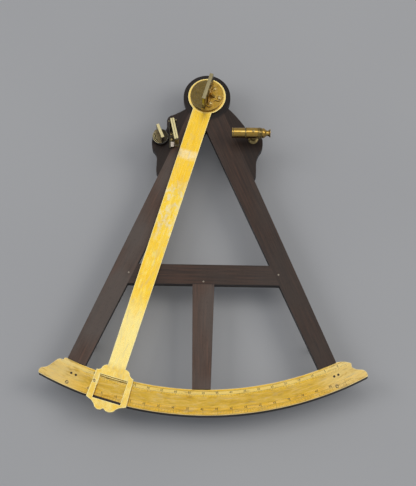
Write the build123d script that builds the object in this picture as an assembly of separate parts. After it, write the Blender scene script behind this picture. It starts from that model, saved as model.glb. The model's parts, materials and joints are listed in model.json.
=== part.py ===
from build123d import *
import math
import os

# A wooden Hadley quadrant (octant) with a brass index arm, a brass scale plate, two mirrors,
# two hinged shades and a short telescope. It lies face up on three turned feet.
# Lengths are in millimetres and angles in degrees.
# Everything is drawn about the index pivot: X to the right, Y towards the head, Z up from the
# top face of the wooden frame. PLACE then moves it to the origin under the middle of its box.

# Frame
LIMB_THICK = 12.0
FOOT_HEIGHT = 36.0
HEAD_RADIUS = 32.8
OUTER_OFFSET = 14.16
OUTER_SLOPE = 0.4371
INNER_OFFSET = 22.81
INNER_SLOPE = 0.4593
BRACE_TOP = -247.2
BRACE_BOTTOM = -275.4
BRACE_THICK = 11.0
STEM_HALF_TOP = 14.9
STEM_HALF_BOTTOM = 12.6
WOOD_GAP = 0.05

# Tongues that join the wooden pieces
LIMB_TONGUE_HALF = 7.0
LIMB_TONGUE_START = -412.0
LIMB_TONGUE_END = -446.0
LIMB_TONGUE_LOW = -11.5
LIMB_TONGUE_HIGH = -6.5
BRACE_TONGUE_REACH = 110.0
BRACE_TONGUE_TOP = -253.0
BRACE_TONGUE_BOTTOM = -269.0
BRACE_TONGUE_LOW = -8.0
BRACE_TONGUE_HIGH = -3.0
STEM_HEAD_TONGUE_HALF = 8.0
STEM_HEAD_TONGUE_TOP = -264.0
STEM_FOOT_TONGUE_HALF = 7.0
STEM_FOOT_TONGUE_END = -440.0
STEM_FOOT_TONGUE_LOW = -10.5
STEM_FOOT_TONGUE_HIGH = -6.0

# Screws, as a head (radius, low, high) and a shank (radius, low)
END_SCREW_HEAD = (1.9, -3.2, -2.0)
END_SCREW_SHANK = (0.9, -10.0)
VERNIER_SCREW_HEAD = (2.2, 2.9, 4.0)
VERNIER_SCREW_SHANK = (1.0, -1.2)
BRACKET_SCREW_HEAD = (2.4, 9.6, 11.0)
BRACKET_SCREW_SHANK = (1.2, 5.0)
SHADE_SCREW_HEAD = (1.9, 1.6, 2.5)
SHADE_SCREW_SHANK = (1.0, 0.0)
COLLAR_SCREW_HEAD = (2.0, 32.7, 33.8)
COLLAR_SCREW_SHANK = (1.0, 31.45)

# Pegs and pins
PEG_RADIUS = 1.2
DRAW_PIN_RADIUS = 1.1
DRAW_PIN_LOW = -12.0
BACK_SCREW_RADIUS = 1.2
BACK_SCREW_TIP = -6.0
BACK_SCREW_HEAD_RADIUS = 2.3
BACK_SCREW_HEAD_LOW = -14.2

# Graduated arc
ARC_INNER = 424.1
ARC_OUTER = 460.0
ARC_INNER_END = 25.6
ARC_LEFT_TIP = -28.66
ARC_RIGHT_TIP = 29.24
ARC_WOOD_LOW = -14.0
ARC_WOOD_HIGH = -4.0
ARC_BRASS_HIGH = -2.0
LIMB_FOOT_ANGLE = 23.6

# Index arm, at the angle it rests at, measured from straight down
ARM_REST_ANGLE = -16.15
ARM_LOW = 1.2
ARM_HIGH = 3.8
ARM_HEAD_RADIUS = 26.26
ARM_HALF_TOP = 13.4
ARM_HALF_BOTTOM = 12.25
WINDOW_CENTRE = 0.8
WINDOW_HALF = 19.6
WINDOW_FRAME_HALF = 26.0
WINDOW_NEAR = 427.5
WINDOW_FAR = 462.0
VERNIER_LOW = -1.7
VERNIER_INNER = 424.9
VERNIER_OUTER = 429.2
VERNIER_SCREW = (-23.4, -439.0)

# Pivot
SHAFT_RADIUS = 5.0
THREAD_RADIUS = 3.2
RUNNING_CLEARANCE = 0.05
BUSH_RADIUS = 9.0
SEAT_CLEARANCE = 0.02
SHAFT_STEP = -14.0
SHAFT_LOW = -23.0
HEAD_PLATE_RADIUS = 22.0
HEAD_PLATE_HIGH = 0.9
BACK_PLATE_RADIUS = 19.0
BACK_PLATE_LOW = -13.6
PLATE_CLEARANCE = 0.4
WASHER_RADIUS = 9.0
WASHER_LOW = -15.4
NUT_RADIUS = 7.2
NUT_LOW = -20.4

# Index mirror
TABLE_RADIUS = 23.2
TABLE_HIGH = 7.8
MIRROR_HALF_LENGTH = 19.6
MIRROR_HIGH = 43.0
MIRROR_FRONT = -1.5
MIRROR_BACK = 3.5
GLASS_FRONT = -1.0
GLASS_BACK = 2.0
GLASS_LOW = 9.0
GLASS_HIGH = 41.8
GLASS_GAP = 0.01
CLIP_DEPTH = 1.2
BRACKET_FOOT_HIGH = 9.6
BRACKET_SCREWS = [(7.6, 11.6), (17.4, 0.4), (7.9, -11.0)]

# Horizon mirror
HORIZON_X = -63.5
HORIZON_Y = -62.1
HORIZON_LEAN = 22.3
HORIZON_BASE_RADIUS = 11.6
HORIZON_BASE_LOW = 0.3
HORIZON_BASE_HIGH = 7.4
HORIZON_MIRROR_HIGH = 28.6
SPINDLE_RADIUS = 3.0
SPINDLE_LOW = -17.5
HORIZON_BUSH_RADIUS = 4.6
LEVER_ANGLE = 20.0
LEVER_LOW = -15.4
LEVER_HIGH = -13.4
LEVER_REACH = 28.0
LEVER_HALF_WIDTH = 4.0
LOCK_DISTANCE = 20.0
LOCK_RADIUS = 1.6
LOCK_BUSH_RADIUS = 3.4
LOCK_BUSH_HIGH = -7.0

# Shades
SHADE_X = -46.9
SHADE_Y = -48.2
SHADE_LEAN = 12.7
SHADE_PIN_HEIGHT = 31.0
SHADE_LOW = 8.0
SHADE_HIGH = 34.0
SHADE_NEAR = -29.5
SHADE_FAR = 4.4
SHADE_THICK = 2.55
SHADE_GAP = 0.2
SHADE_CORNER = 5.0
SHADE_GLASS_RADIUS = 9.65
SHADE_GLASS_THICK = 1.7
SHADE_GLASS_HEIGHT = 20.2
SHADE_SEAT_DEPTH = 1.9
SHADE_BASE_HIGH = 1.6
SHADE_BASE_SCREWS = [(-48.2, -57.0), (-48.2, -65.0)]
SHADE_PIN_RADIUS = 1.1
SHADE_PIN_HALF = 5.4
POST_INSIDE = 3.1
POST_OUTSIDE = 4.7

# Telescope
SCOPE_Y = -62.3
SCOPE_Z = 25.0
SCOPE_START = 35.8
COLLAR_START = 54.6
COLLAR_END = 74.8
CAP_END = 77.0
CUP_START = 77.3
CUP_END = 89.1
TUBE_RADIUS = 7.08
TUBE_BORE = 6.3
RIM_RADIUS = 7.45
RIM_WIDTH = 1.2
COLLAR_RADIUS = 7.6
CAP_START = 64.0
CAP_SLEEVE_RADIUS = 6.28
CAP_RADIUS = 7.4
DRAW_START = 52.0
DRAW_END = 80.0
DRAW_RADIUS = 5.6
DRAW_BORE = 4.9
OBJECTIVE = (6.28, 41.4, 39.8, 38.6)
EYE_LENS = (4.88, 75.6, 76.6, 77.6)
PILLAR_X = 65.5
PILLAR_STUB_RADIUS = 2.5
PILLAR_STUB = -8.0

# Clamp behind the arc, in distances along the arm
CLAMP_DISTANCE = 447.0
CLAMP_HALF_WIDTH = 8.0
CLAMP_SCREW_RADIUS = 2.5
CLAMP_SHOE_RADIUS = 5.5
CLAMP_SHOE_LOW = -19.0
CLAMP_SHOE_HIGH = -14.4

FEET = {"left_foot": (-156.0, -352.0), "right_foot": (156.0, -352.0), "head_foot": (0.0, -33.0)}
FOOT_STUB_RADIUS = 2.0
FOOT_STUB_LENGTH = 6.0
PEGS = [(-102.6, -260.0), (102.6, -260.0), (0.0, -271.5)]


def polar(radius, degrees):
    """Point at a radius from the pivot and an angle from straight down, positive to the right."""
    angle = math.radians(degrees)
    return (radius * math.sin(angle), -radius * math.cos(angle))


DRAW_PINS = [polar(440.6, degrees) for degrees in (-23.6, -22.7, 24.0, 24.8)]
END_SCREWS = [polar(454.6, degrees) for degrees in (-23.6, 23.75)]
BACK_SCREWS = [polar(14.0, degrees) for degrees in (0, 120, 240)]
LEFT_EDGE = polar(ARC_OUTER, ARC_LEFT_TIP)[0]
RIGHT_EDGE = polar(ARC_OUTER, ARC_RIGHT_TIP)[0]
PLACE = Pos(
    -(LEFT_EDGE + RIGHT_EDGE) / 2,
    (ARC_OUTER - HEAD_RADIUS) / 2,
    FOOT_HEIGHT + LIMB_THICK,
)
ARM = Rot(0, 0, ARM_REST_ANGLE)
HORIZON = Pos(HORIZON_X, HORIZON_Y, 0) * Rot(0, 0, HORIZON_LEAN)
LEVER = Pos(HORIZON_X, HORIZON_Y, 0) * Rot(0, 0, LEVER_ANGLE)
SHADE = Pos(SHADE_X, SHADE_Y, 0) * Rot(0, 0, SHADE_LEAN)
SCOPE = Pos(0, SCOPE_Y, SCOPE_Z) * Rot(0, 90, 0)


def outline(start, *moves):
    """Closed face. A point draws a line to it and a (via, end) pair draws an arc."""
    edges = []
    here = start
    for move in moves:
        if isinstance(move[0], tuple):
            edges.append(ThreePointArc(here, *move))
            here = move[1]
        else:
            edges.append(Line(here, move))
            here = move
    if here != start:
        edges.append(Line(here, start))
    return make_face(edges)


def slab(face, low, high):
    """Flat piece between two heights."""
    return extrude(Pos(0, 0, low) * face, amount=high - low, dir=(0, 0, 1))


def block(x_low, x_high, y_low, y_high, low, high):
    """Box between its limits."""
    centre = Pos((x_low + x_high) / 2, (y_low + y_high) / 2, (low + high) / 2)
    return centre * Box(x_high - x_low, y_high - y_low, high - low)


def disc(x, y, radius, low, high):
    """Upright cylinder between two heights."""
    return Pos(x, y, (low + high) / 2) * Cylinder(radius, high - low)


def turned(*profile):
    """Solid of revolution about Z from (radius, height) points."""
    return revolve(Plane.XZ * make_face(Polyline(*profile, close=True)), Axis.Z)


def side_slab(face, half_width):
    """Piece with a profile in X and Z, spread equally to both sides along Y."""
    return extrude(Plane.XZ * face, amount=half_width, both=True)


def cross_slab(face, start, thick):
    """Plate with a profile in Y and Z that starts at a distance along X."""
    return Pos(start, 0, 0) * extrude(Plane.YZ * face, amount=thick, dir=(1, 0, 0))


def screw(spot, head, shank):
    """Screw with its head up."""
    head_radius, head_low, head_high = head
    shank_radius, shank_low = shank
    top = disc(*spot, head_radius, head_low, head_high)
    return top + disc(*spot, shank_radius, shank_low, head_low)


def shank_hole(spot, head, shank):
    """Hole for a screw's shank, up to the underside of its head."""
    return disc(*spot, shank[0] + SEAT_CLEARANCE, shank[1] - SEAT_CLEARANCE, head[1])


def sunk_hole(spot, head, shank):
    """Hole for a screw whose head is let in."""
    seat = disc(*spot, head[0] + SEAT_CLEARANCE, head[1], head[2] + 1)
    return seat + shank_hole(spot, head, shank)


def through_wood(spot, radius):
    """Hole through the whole thickness of the frame."""
    return disc(*spot, radius, -LIMB_THICK - 1, 1)


def outer_edge(y):
    """Distance of a limb's outer edge from the middle line."""
    return OUTER_OFFSET - OUTER_SLOPE * y


def inner_edge(y):
    """Distance of a limb's inner edge from the middle line."""
    return -INNER_OFFSET - INNER_SLOPE * y


# Frame --------------------------------------------------------------------------------------


def limb_blank():
    """Right limb with its half of the round head, cut to the arc's inner edge."""
    apex_y = -INNER_OFFSET / INNER_SLOPE
    bar = outline(
        (0, 0),
        (outer_edge(0), 0),
        (outer_edge(-ARC_INNER), -ARC_INNER),
        (inner_edge(-ARC_INNER), -ARC_INNER),
        (0, apex_y),
    )
    head = outline((0, -HEAD_RADIUS), ((HEAD_RADIUS, 0), (0, HEAD_RADIUS)))
    reach = disc(0, 0, ARC_INNER - WOOD_GAP, -LIMB_THICK, 0)
    return (slab(bar, -LIMB_THICK, 0) + slab(head, -LIMB_THICK, 0)) & reach


def limb_tenon(gap):
    """Tongue at the foot of the right limb, a little larger when it cuts its mortise."""
    half = LIMB_TONGUE_HALF + gap
    end = LIMB_TONGUE_END - gap
    low = LIMB_TONGUE_LOW - gap
    high = LIMB_TONGUE_HIGH + gap
    tongue = block(-half, half, end, LIMB_TONGUE_START, low, high)
    return Rot(0, 0, LIMB_FOOT_ANGLE) * tongue


def brace_tenon(gap):
    """Tongues at both ends of the cross brace."""
    half = BRACE_TONGUE_REACH + gap
    bottom = BRACE_TONGUE_BOTTOM - gap
    top = BRACE_TONGUE_TOP + gap
    return block(-half, half, bottom, top, BRACE_TONGUE_LOW - gap, BRACE_TONGUE_HIGH + gap)


def stem_tenon(gap):
    """Tongues at both ends of the centre brace."""
    half = STEM_HEAD_TONGUE_HALF + gap
    end = STEM_HEAD_TONGUE_TOP + gap
    start = BRACE_BOTTOM - 4.6
    top = block(-half, half, start, end, BRACE_TONGUE_LOW - gap, BRACE_TONGUE_HIGH + gap)
    half = STEM_FOOT_TONGUE_HALF + gap
    end = STEM_FOOT_TONGUE_END - gap
    start = -ARC_INNER + 4.1
    foot = block(-half, half, end, start, STEM_FOOT_TONGUE_LOW - gap, STEM_FOOT_TONGUE_HIGH + gap)
    return top + foot


def arc_pins():
    """Draw pins through the limb tongues and the two screws at the ends of the scale plate."""
    pins = [disc(*spot, DRAW_PIN_RADIUS, DRAW_PIN_LOW, ARC_BRASS_HIGH) for spot in DRAW_PINS]
    screws = [screw(spot, END_SCREW_HEAD, END_SCREW_SHANK) for spot in END_SCREWS]
    return Compound(pins + screws)


def pin_holes():
    """Holes for the draw pins and the end screws."""
    radius = DRAW_PIN_RADIUS + SEAT_CLEARANCE
    low = DRAW_PIN_LOW - SEAT_CLEARANCE
    holes = [disc(*spot, radius, low, 0) for spot in DRAW_PINS]
    sunk = [sunk_hole(spot, END_SCREW_HEAD, END_SCREW_SHANK) for spot in END_SCREWS]
    return Compound(holes + sunk)


def brace_pegs():
    """Pegs through the tongues of the braces, a hair proud of the wood."""
    return Compound([disc(*spot, PEG_RADIUS, -LIMB_THICK, 0.1) for spot in PEGS])


def peg_holes():
    return Compound([through_wood(spot, PEG_RADIUS + SEAT_CLEARANCE) for spot in PEGS])


def foot(x, y):
    """Turned brass foot with a ball end and a stub that enters the wood."""
    low = -LIMB_THICK - FOOT_HEIGHT
    body = turned(
        (0, low),
        (3.2, low),
        (4.6, low + 2.0),
        (4.6, low + 5.0),
        (3.0, low + 8.0),
        (2.8, low + 26.0),
        (3.8, low + 30.0),
        (6.2, low + 33.0),
        (6.2, low + FOOT_HEIGHT),
        (FOOT_STUB_RADIUS, low + FOOT_HEIGHT),
        (FOOT_STUB_RADIUS, low + FOOT_HEIGHT + FOOT_STUB_LENGTH),
        (0, low + FOOT_HEIGHT + FOOT_STUB_LENGTH),
    )
    return Pos(x, y, 0) * body


def foot_holes():
    """Blind holes in the back of the frame for the stubs of the feet."""
    radius = FOOT_STUB_RADIUS + SEAT_CLEARANCE
    end = -LIMB_THICK + FOOT_STUB_LENGTH + 0.1
    return Compound([disc(x, y, radius, -LIMB_THICK - 1, end) for x, y in FEET.values()])


def back_screws():
    """Three screws that hold the back plate."""
    screws = []
    for spot in BACK_SCREWS:
        head = disc(*spot, BACK_SCREW_HEAD_RADIUS, BACK_SCREW_HEAD_LOW, BACK_PLATE_LOW)
        screws.append(head + disc(*spot, BACK_SCREW_RADIUS, BACK_PLATE_LOW, BACK_SCREW_TIP))
    return Compound(screws)


def back_screw_holes():
    """Holes through the back plate into the head."""
    radius = BACK_SCREW_RADIUS + SEAT_CLEARANCE
    low = BACK_PLATE_LOW - 0.1
    high = BACK_SCREW_TIP + 0.1
    return Compound([disc(*spot, radius, low, high) for spot in BACK_SCREWS])


def limb(side):
    """Left (-1) or right (+1) limb with its tongue, mortise and bores."""
    blank = limb_blank() + limb_tenon(0)
    blank = blank - brace_tenon(WOOD_GAP)
    placed = blank if side > 0 else mirror(blank, about=Plane.YZ)
    placed = placed - through_wood((0, 0), BUSH_RADIUS + SEAT_CLEARANCE)
    return placed - peg_holes() - pin_holes() - foot_holes() - back_screw_holes()


def left_ear():
    """Shoulder piece under the horizon mirror and shades, glued to the left limb."""
    face = outline(
        (-20.0, -14.0),
        (-28.0, -17.1),
        ((-37.8, -23.2), (-47.0, -27.6)),
        ((-52.9, -30.8), (-55.2, -36.5)),
        (-55.2, -43.4),
        ((-57.4, -51.0), (-64.0, -53.8)),
        ((-71.9, -56.6), (-75.2, -64.2)),
        ((-75.4, -72.4), (-73.5, -80.3)),
        ((-69.5, -85.6), (-67.9, -92.1)),
        (-68.6, -110.0),
        ((-67.9, -113.8), (-65.4, -117.4)),
        (-50.0, -110.0),
    )
    ear = slab(face, -LIMB_THICK, 0) - limb_outline(-1)
    ear = ear - through_wood((HORIZON_X, HORIZON_Y), HORIZON_BUSH_RADIUS + SEAT_CLEARANCE)
    lock_radius = LOCK_BUSH_RADIUS + SEAT_CLEARANCE
    return ear - disc(*lock_point(), lock_radius, -LIMB_THICK - 1, LOCK_BUSH_HIGH + 0.1)


def right_ear():
    """Shoulder piece under the telescope, glued to the right limb."""
    face = outline(
        (20.0, -10.0),
        (29.0, -15.3),
        ((41.0, -27.6), (56.4, -47.4)),
        ((61.6, -53.2), (69.4, -55.6)),
        ((76.4, -58.4), (78.7, -64.8)),
        ((78.6, -72.2), (76.3, -79.2)),
        ((71.6, -88.0), (70.0, -97.4)),
        (69.9, -115.1),
        ((68.9, -118.4), (66.5, -121.0)),
        (50.0, -112.0),
    )
    ear = slab(face, -LIMB_THICK, 0) - limb_outline(1)
    radius = PILLAR_STUB_RADIUS + SEAT_CLEARANCE
    return ear - disc(PILLAR_X, SCOPE_Y, radius, PILLAR_STUB - SEAT_CLEARANCE, 1)


def limb_outline(side):
    """Whole limb and head, slightly thicker, used to trim the ears."""
    blank = limb_blank()
    grown = blank + Pos(0, 0, 1) * blank + Pos(0, 0, -1) * blank
    head = through_wood((0, 0), HEAD_RADIUS)
    return (grown if side > 0 else mirror(grown, about=Plane.YZ)) + head


def cross_brace():
    """Brace between the limbs, with a mortise for the centre brace."""
    face = outline(
        (-inner_edge(BRACE_TOP), BRACE_TOP),
        (inner_edge(BRACE_TOP), BRACE_TOP),
        (inner_edge(BRACE_BOTTOM), BRACE_BOTTOM),
        (-inner_edge(BRACE_BOTTOM), BRACE_BOTTOM),
    )
    bar = slab(face, -BRACE_THICK, 0) + brace_tenon(0)
    return bar - stem_tenon(WOOD_GAP) - peg_holes()


def centre_brace():
    """Tapering stem from the cross brace to the arc."""
    low = -math.sqrt((ARC_INNER - WOOD_GAP) ** 2 - STEM_HALF_BOTTOM ** 2)
    face = outline(
        (-STEM_HALF_TOP, BRACE_BOTTOM),
        (STEM_HALF_TOP, BRACE_BOTTOM),
        (STEM_HALF_BOTTOM, low),
        ((0, -ARC_INNER + WOOD_GAP), (-STEM_HALF_BOTTOM, low)),
    )
    return slab(face, -BRACE_THICK, 0) + stem_tenon(0) - peg_holes()


def arc_face():
    """Outline shared by the wooden arc and the scale plate, with its cut decorative ends."""
    left_tip = polar(ARC_OUTER, ARC_LEFT_TIP)
    right_tip = polar(ARC_OUTER, ARC_RIGHT_TIP)
    return outline(
        polar(ARC_INNER, -ARC_INNER_END),
        (polar(ARC_INNER, 0), polar(ARC_INNER, ARC_INNER_END)),
        ((192.0, -381.4), (202.2, -383.4)),
        (203.2, -389.0),
        ((208.4, -391.5), (214.2, -392.2)),
        ((222.2, -394.8), right_tip),
        (polar(ARC_OUTER, 0), left_tip),
        ((-219.9, -398.8), (-215.6, -396.0)),
        ((-210.6, -395.2), (-206.2, -392.8)),
        (-197.0, -385.6),
        ((-193.8, -383.9), (-190.2, -383.9)),
        (-187.8, -385.2),
        (-186.5, -382.7),
    )


def arc_wood():
    """Wooden arc under the scale, with mortises for the limbs and the stem."""
    wood = slab(arc_face(), ARC_WOOD_LOW, ARC_WOOD_HIGH)
    tenons = limb_tenon(WOOD_GAP) + mirror(limb_tenon(WOOD_GAP), about=Plane.YZ)
    return wood - tenons - stem_tenon(WOOD_GAP) - pin_holes()


def scale_plate():
    return slab(arc_face(), ARC_WOOD_HIGH, ARC_BRASS_HIGH) - pin_holes()


def pivot_bush():
    """Brass bush in which the arm's shaft turns."""
    ring = disc(0, 0, BUSH_RADIUS, -LIMB_THICK, 0)
    return ring - through_wood((0, 0), SHAFT_RADIUS + RUNNING_CLEARANCE)


def head_plate():
    """Thin brass bearing plate between the head and the arm."""
    plate = disc(0, 0, HEAD_PLATE_RADIUS, 0, HEAD_PLATE_HIGH)
    return plate - through_wood((0, 0), SHAFT_RADIUS + PLATE_CLEARANCE)


def back_plate():
    """Brass plate behind the head."""
    plate = disc(0, 0, BACK_PLATE_RADIUS, BACK_PLATE_LOW, -LIMB_THICK)
    bore = disc(0, 0, SHAFT_RADIUS + PLATE_CLEARANCE, BACK_PLATE_LOW - 1, 0)
    return plate - bore - back_screw_holes()


# Index arm ----------------------------------------------------------------------------------


def index_arm():
    """Head disc, tapering strip and the window frame over the scale, sawn from one plate."""
    strip = outline(
        (-ARM_HALF_TOP, -20.0),
        (ARM_HALF_TOP, -20.0),
        (ARM_HALF_BOTTOM, -414.0),
        (-ARM_HALF_BOTTOM, -414.0),
    )
    left = WINDOW_CENTRE - WINDOW_FRAME_HALF
    right = WINDOW_CENTRE + WINDOW_FRAME_HALF
    frame = outline(
        (-ARM_HALF_BOTTOM, -412.6),
        ((-17.0, -415.0), (-19.6, -420.4)),
        ((-21.6, -421.6), (left, -422.4)),
        (left - 2.2, -462.6),
        (left + 1.2, -464.2),
        ((-17.4, -467.4), (-12.6, -473.0)),
        ((-6.4, -475.9), (-0.2, -472.4)),
        ((8.2, -475.7), (15.0, -472.4)),
        ((19.0, -467.4), (right - 1.2, -464.2)),
        (right + 2.2, -462.6),
        (right, -422.4),
        ((23.0, -421.0), (20.4, -418.6)),
        ((17.8, -414.4), (ARM_HALF_BOTTOM, -412.6)),
    )
    arm = slab(strip, ARM_LOW, ARM_HIGH) + slab(frame, ARM_LOW, ARM_HIGH)
    arm = arm + disc(0, 0, ARM_HEAD_RADIUS, ARM_LOW, ARM_HIGH)
    window_left = WINDOW_CENTRE - WINDOW_HALF
    window_right = WINDOW_CENTRE + WINDOW_HALF
    window = block(window_left, window_right, -WINDOW_FAR, -WINDOW_NEAR, 0, ARM_HIGH + 1)
    bore = disc(0, 0, SHAFT_RADIUS + SEAT_CLEARANCE, 0, ARM_HIGH + 1)
    return ARM * (arm - window - bore - vernier_screw_hole())


def pivot_shaft():
    """Shaft fixed in the arm's head, with a thinner threaded end behind the frame."""
    wide = disc(0, 0, SHAFT_RADIUS, SHAFT_STEP, ARM_HIGH)
    return wide + disc(0, 0, THREAD_RADIUS, SHAFT_LOW, SHAFT_STEP)


def thread_hole():
    return disc(0, 0, THREAD_RADIUS + SEAT_CLEARANCE, SHAFT_LOW, 0)


def pivot_washer():
    return disc(0, 0, WASHER_RADIUS, WASHER_LOW, SHAFT_STEP) - thread_hole()


def pivot_nut():
    return slab(RegularPolygon(NUT_RADIUS, 6), NUT_LOW, WASHER_LOW) - thread_hole()


def vernier_screw():
    """Screw that holds the vernier plate under the window frame."""
    return ARM * screw(VERNIER_SCREW, VERNIER_SCREW_HEAD, VERNIER_SCREW_SHANK)


def vernier_screw_hole():
    return sunk_hole(VERNIER_SCREW, VERNIER_SCREW_HEAD, VERNIER_SCREW_SHANK)


def vernier_plate():
    """Curved strip along the window's inner side with a tab under its left bar."""
    inner = disc(0, 0, VERNIER_INNER, VERNIER_LOW - 1, ARM_LOW + 1)
    strip = disc(0, 0, VERNIER_OUTER, VERNIER_LOW, ARM_LOW)
    strip = strip & block(-18.2, 19.8, -430.0, -424.0, VERNIER_LOW, ARM_LOW)
    tab = block(-26.2, -18.2, -443.0, -424.6, VERNIER_LOW, ARM_LOW)
    return ARM * (strip + tab - inner - vernier_screw_hole())


def clamp_bracket():
    """Bracket that reaches round the arc's outer edge and carries the clamp screw."""
    profile = outline(
        (463.5, ARM_LOW),
        (472.0, ARM_LOW),
        (472.0, -1.0),
        (466.6, -1.0),
        (466.6, -24.5),
        (440.0, -24.5),
        (440.0, -21.5),
        (463.5, -21.5),
    )
    bent = Rot(0, 0, -90) * side_slab(profile, CLAMP_HALF_WIDTH)
    hole = disc(0, -CLAMP_DISTANCE, CLAMP_SCREW_RADIUS + RUNNING_CLEARANCE, -26, -20)
    return ARM * (bent - hole)


def clamp_screw():
    """Knurled thumb screw under the arc."""
    shank = disc(0, -CLAMP_DISTANCE, CLAMP_SCREW_RADIUS, -29.0, -16.3)
    collar = disc(0, -CLAMP_DISTANCE, 4.0, -29.0, -26.4)
    head = Pos(0, -CLAMP_DISTANCE, 0) * turned(
        (0, -36.0), (5.6, -36.0), (7.0, -35.0), (7.0, -30.0), (6.0, -29.0), (0, -29.0)
    )
    return ARM * (shank + collar + head)


def clamp_shoe():
    """Small pad that the screw presses against the back of the arc."""
    pad = disc(0, -CLAMP_DISTANCE, CLAMP_SHOE_RADIUS, CLAMP_SHOE_LOW, CLAMP_SHOE_HIGH)
    bore = CLAMP_SCREW_RADIUS + RUNNING_CLEARANCE
    socket = disc(0, -CLAMP_DISTANCE, bore, CLAMP_SHOE_LOW - 1, -16.0)
    return ARM * (pad - socket)


# Index mirror -------------------------------------------------------------------------------


def mirror_table():
    """Round table on the arm's head."""
    table = disc(0, 0, TABLE_RADIUS, ARM_HIGH, TABLE_HIGH)
    table = chamfer(table.edges().group_by(Axis.Z)[-1], 0.5)
    return ARM * (table - bracket_screw_holes())


def index_mirror_frame():
    """Back plate with a clip folded over the glass along its top and bottom."""
    profile = outline(
        (MIRROR_FRONT, TABLE_HIGH),
        (MIRROR_BACK, TABLE_HIGH),
        (MIRROR_BACK, MIRROR_HIGH),
        (MIRROR_FRONT, MIRROR_HIGH),
        (MIRROR_FRONT, GLASS_HIGH - CLIP_DEPTH),
        (GLASS_FRONT, GLASS_HIGH - CLIP_DEPTH),
        (GLASS_FRONT, GLASS_HIGH),
        (GLASS_BACK, GLASS_HIGH),
        (GLASS_BACK, GLASS_LOW),
        (GLASS_FRONT, GLASS_LOW),
        (GLASS_FRONT, GLASS_LOW + CLIP_DEPTH),
        (MIRROR_FRONT, GLASS_LOW + CLIP_DEPTH),
    )
    return ARM * side_slab(profile, MIRROR_HALF_LENGTH)


def index_mirror_glass():
    half = MIRROR_HALF_LENGTH - 0.4
    front = GLASS_FRONT + GLASS_GAP
    back = GLASS_BACK - GLASS_GAP
    return ARM * block(front, back, -half, half, GLASS_LOW + GLASS_GAP, GLASS_HIGH - GLASS_GAP)


def index_mirror_bracket():
    """Three-lobed foot with an upright and a curved rib behind the mirror."""
    foot_face = outline(
        (MIRROR_BACK, 15.2),
        ((10.2, 15.0), (11.3, 9.6)),
        ((11.8, 6.0), (15.0, 4.2)),
        ((21.0, 0), (15.0, -4.2)),
        ((11.8, -6.0), (11.3, -9.6)),
        ((10.2, -15.0), (MIRROR_BACK, -15.2)),
    )
    foot_plate = slab(foot_face, TABLE_HIGH, BRACKET_FOOT_HIGH)
    upright_face = outline(
        (-10.0, TABLE_HIGH), (10.0, TABLE_HIGH), (10.0, 24.0), ((0, 33.0), (-10.0, 24.0))
    )
    upright = cross_slab(upright_face, MIRROR_BACK, 1.5)
    rib_face = outline(
        (4.4, 9.0), (13.0, 9.0), (13.0, 10.2), ((8.0, 14.6), (5.6, 25.0)), (4.4, 25.0)
    )
    rib = side_slab(rib_face, 1.3)
    return ARM * (foot_plate + upright + rib - bracket_screw_holes())


def bracket_screws():
    screws = [screw(spot, BRACKET_SCREW_HEAD, BRACKET_SCREW_SHANK) for spot in BRACKET_SCREWS]
    return ARM * Compound(screws)


def bracket_screw_holes():
    """Holes through the bracket's foot into the table."""
    head = BRACKET_SCREW_HEAD
    return Compound([shank_hole(spot, head, BRACKET_SCREW_SHANK) for spot in BRACKET_SCREWS])


# Horizon mirror -----------------------------------------------------------------------------


def lock_point():
    """Centre of the lock screw on the lever's line."""
    angle = math.radians(LEVER_ANGLE)
    return (
        HORIZON_X + LOCK_DISTANCE * math.sin(angle),
        HORIZON_Y - LOCK_DISTANCE * math.cos(angle),
    )


def horizon_bush():
    """Brass bush for the horizon mirror's spindle."""
    ring = disc(HORIZON_X, HORIZON_Y, HORIZON_BUSH_RADIUS, -LIMB_THICK, 0)
    return ring - through_wood((HORIZON_X, HORIZON_Y), SPINDLE_RADIUS + RUNNING_CLEARANCE)


def horizon_base():
    """Round table with the spindle that passes through the wood."""
    table = disc(HORIZON_X, HORIZON_Y, HORIZON_BASE_RADIUS, HORIZON_BASE_LOW, HORIZON_BASE_HIGH)
    return table + disc(HORIZON_X, HORIZON_Y, SPINDLE_RADIUS, SPINDLE_LOW, HORIZON_BASE_LOW)


def horizon_frame():
    """Foot and folded clip that hold the horizon glass from its left side."""
    profile = outline(
        (-6.0, HORIZON_BASE_HIGH),
        (2.0, HORIZON_BASE_HIGH),
        (2.0, 9.8),
        (1.6, 9.8),
        (1.6, 8.6),
        (-0.9, 8.6),
        (-0.9, 27.6),
        (1.6, 27.6),
        (1.6, 26.4),
        (2.0, 26.4),
        (2.0, HORIZON_MIRROR_HIGH),
        (-2.2, HORIZON_MIRROR_HIGH),
        (-2.2, 9.0),
        (-6.0, 9.0),
    )
    body = side_slab(profile, 10.6)
    reach = disc(0, 0, HORIZON_BASE_RADIUS - 0.4, 0, HORIZON_MIRROR_HIGH)
    return HORIZON * (body & reach)


def horizon_glass():
    """Glass held inside the frame's fold."""
    return HORIZON * block(-0.89, 1.59, -10.2, 10.2, 8.61, 27.59)


def horizon_lever():
    """Flat lever behind the ear that turns the horizon mirror a few degrees."""
    low = LEVER_LOW
    high = LEVER_HIGH
    half = LEVER_HALF_WIDTH
    hub = disc(0, 0, 6.0, low, high)
    bar = block(-half, half, -LEVER_REACH, 0, low, high)
    tip = disc(0, -LEVER_REACH, 5.0, low, high)
    wide = disc(0, -LOCK_DISTANCE, 7.4, low, high)
    slot = block(-4.2, 4.2, -LOCK_DISTANCE - 2.0, -LOCK_DISTANCE + 2.0, low - 1, high + 1)
    bore = disc(0, 0, SPINDLE_RADIUS + SEAT_CLEARANCE, low - 1, high + 1)
    return LEVER * (hub + bar + tip + wide - slot - bore)


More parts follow.
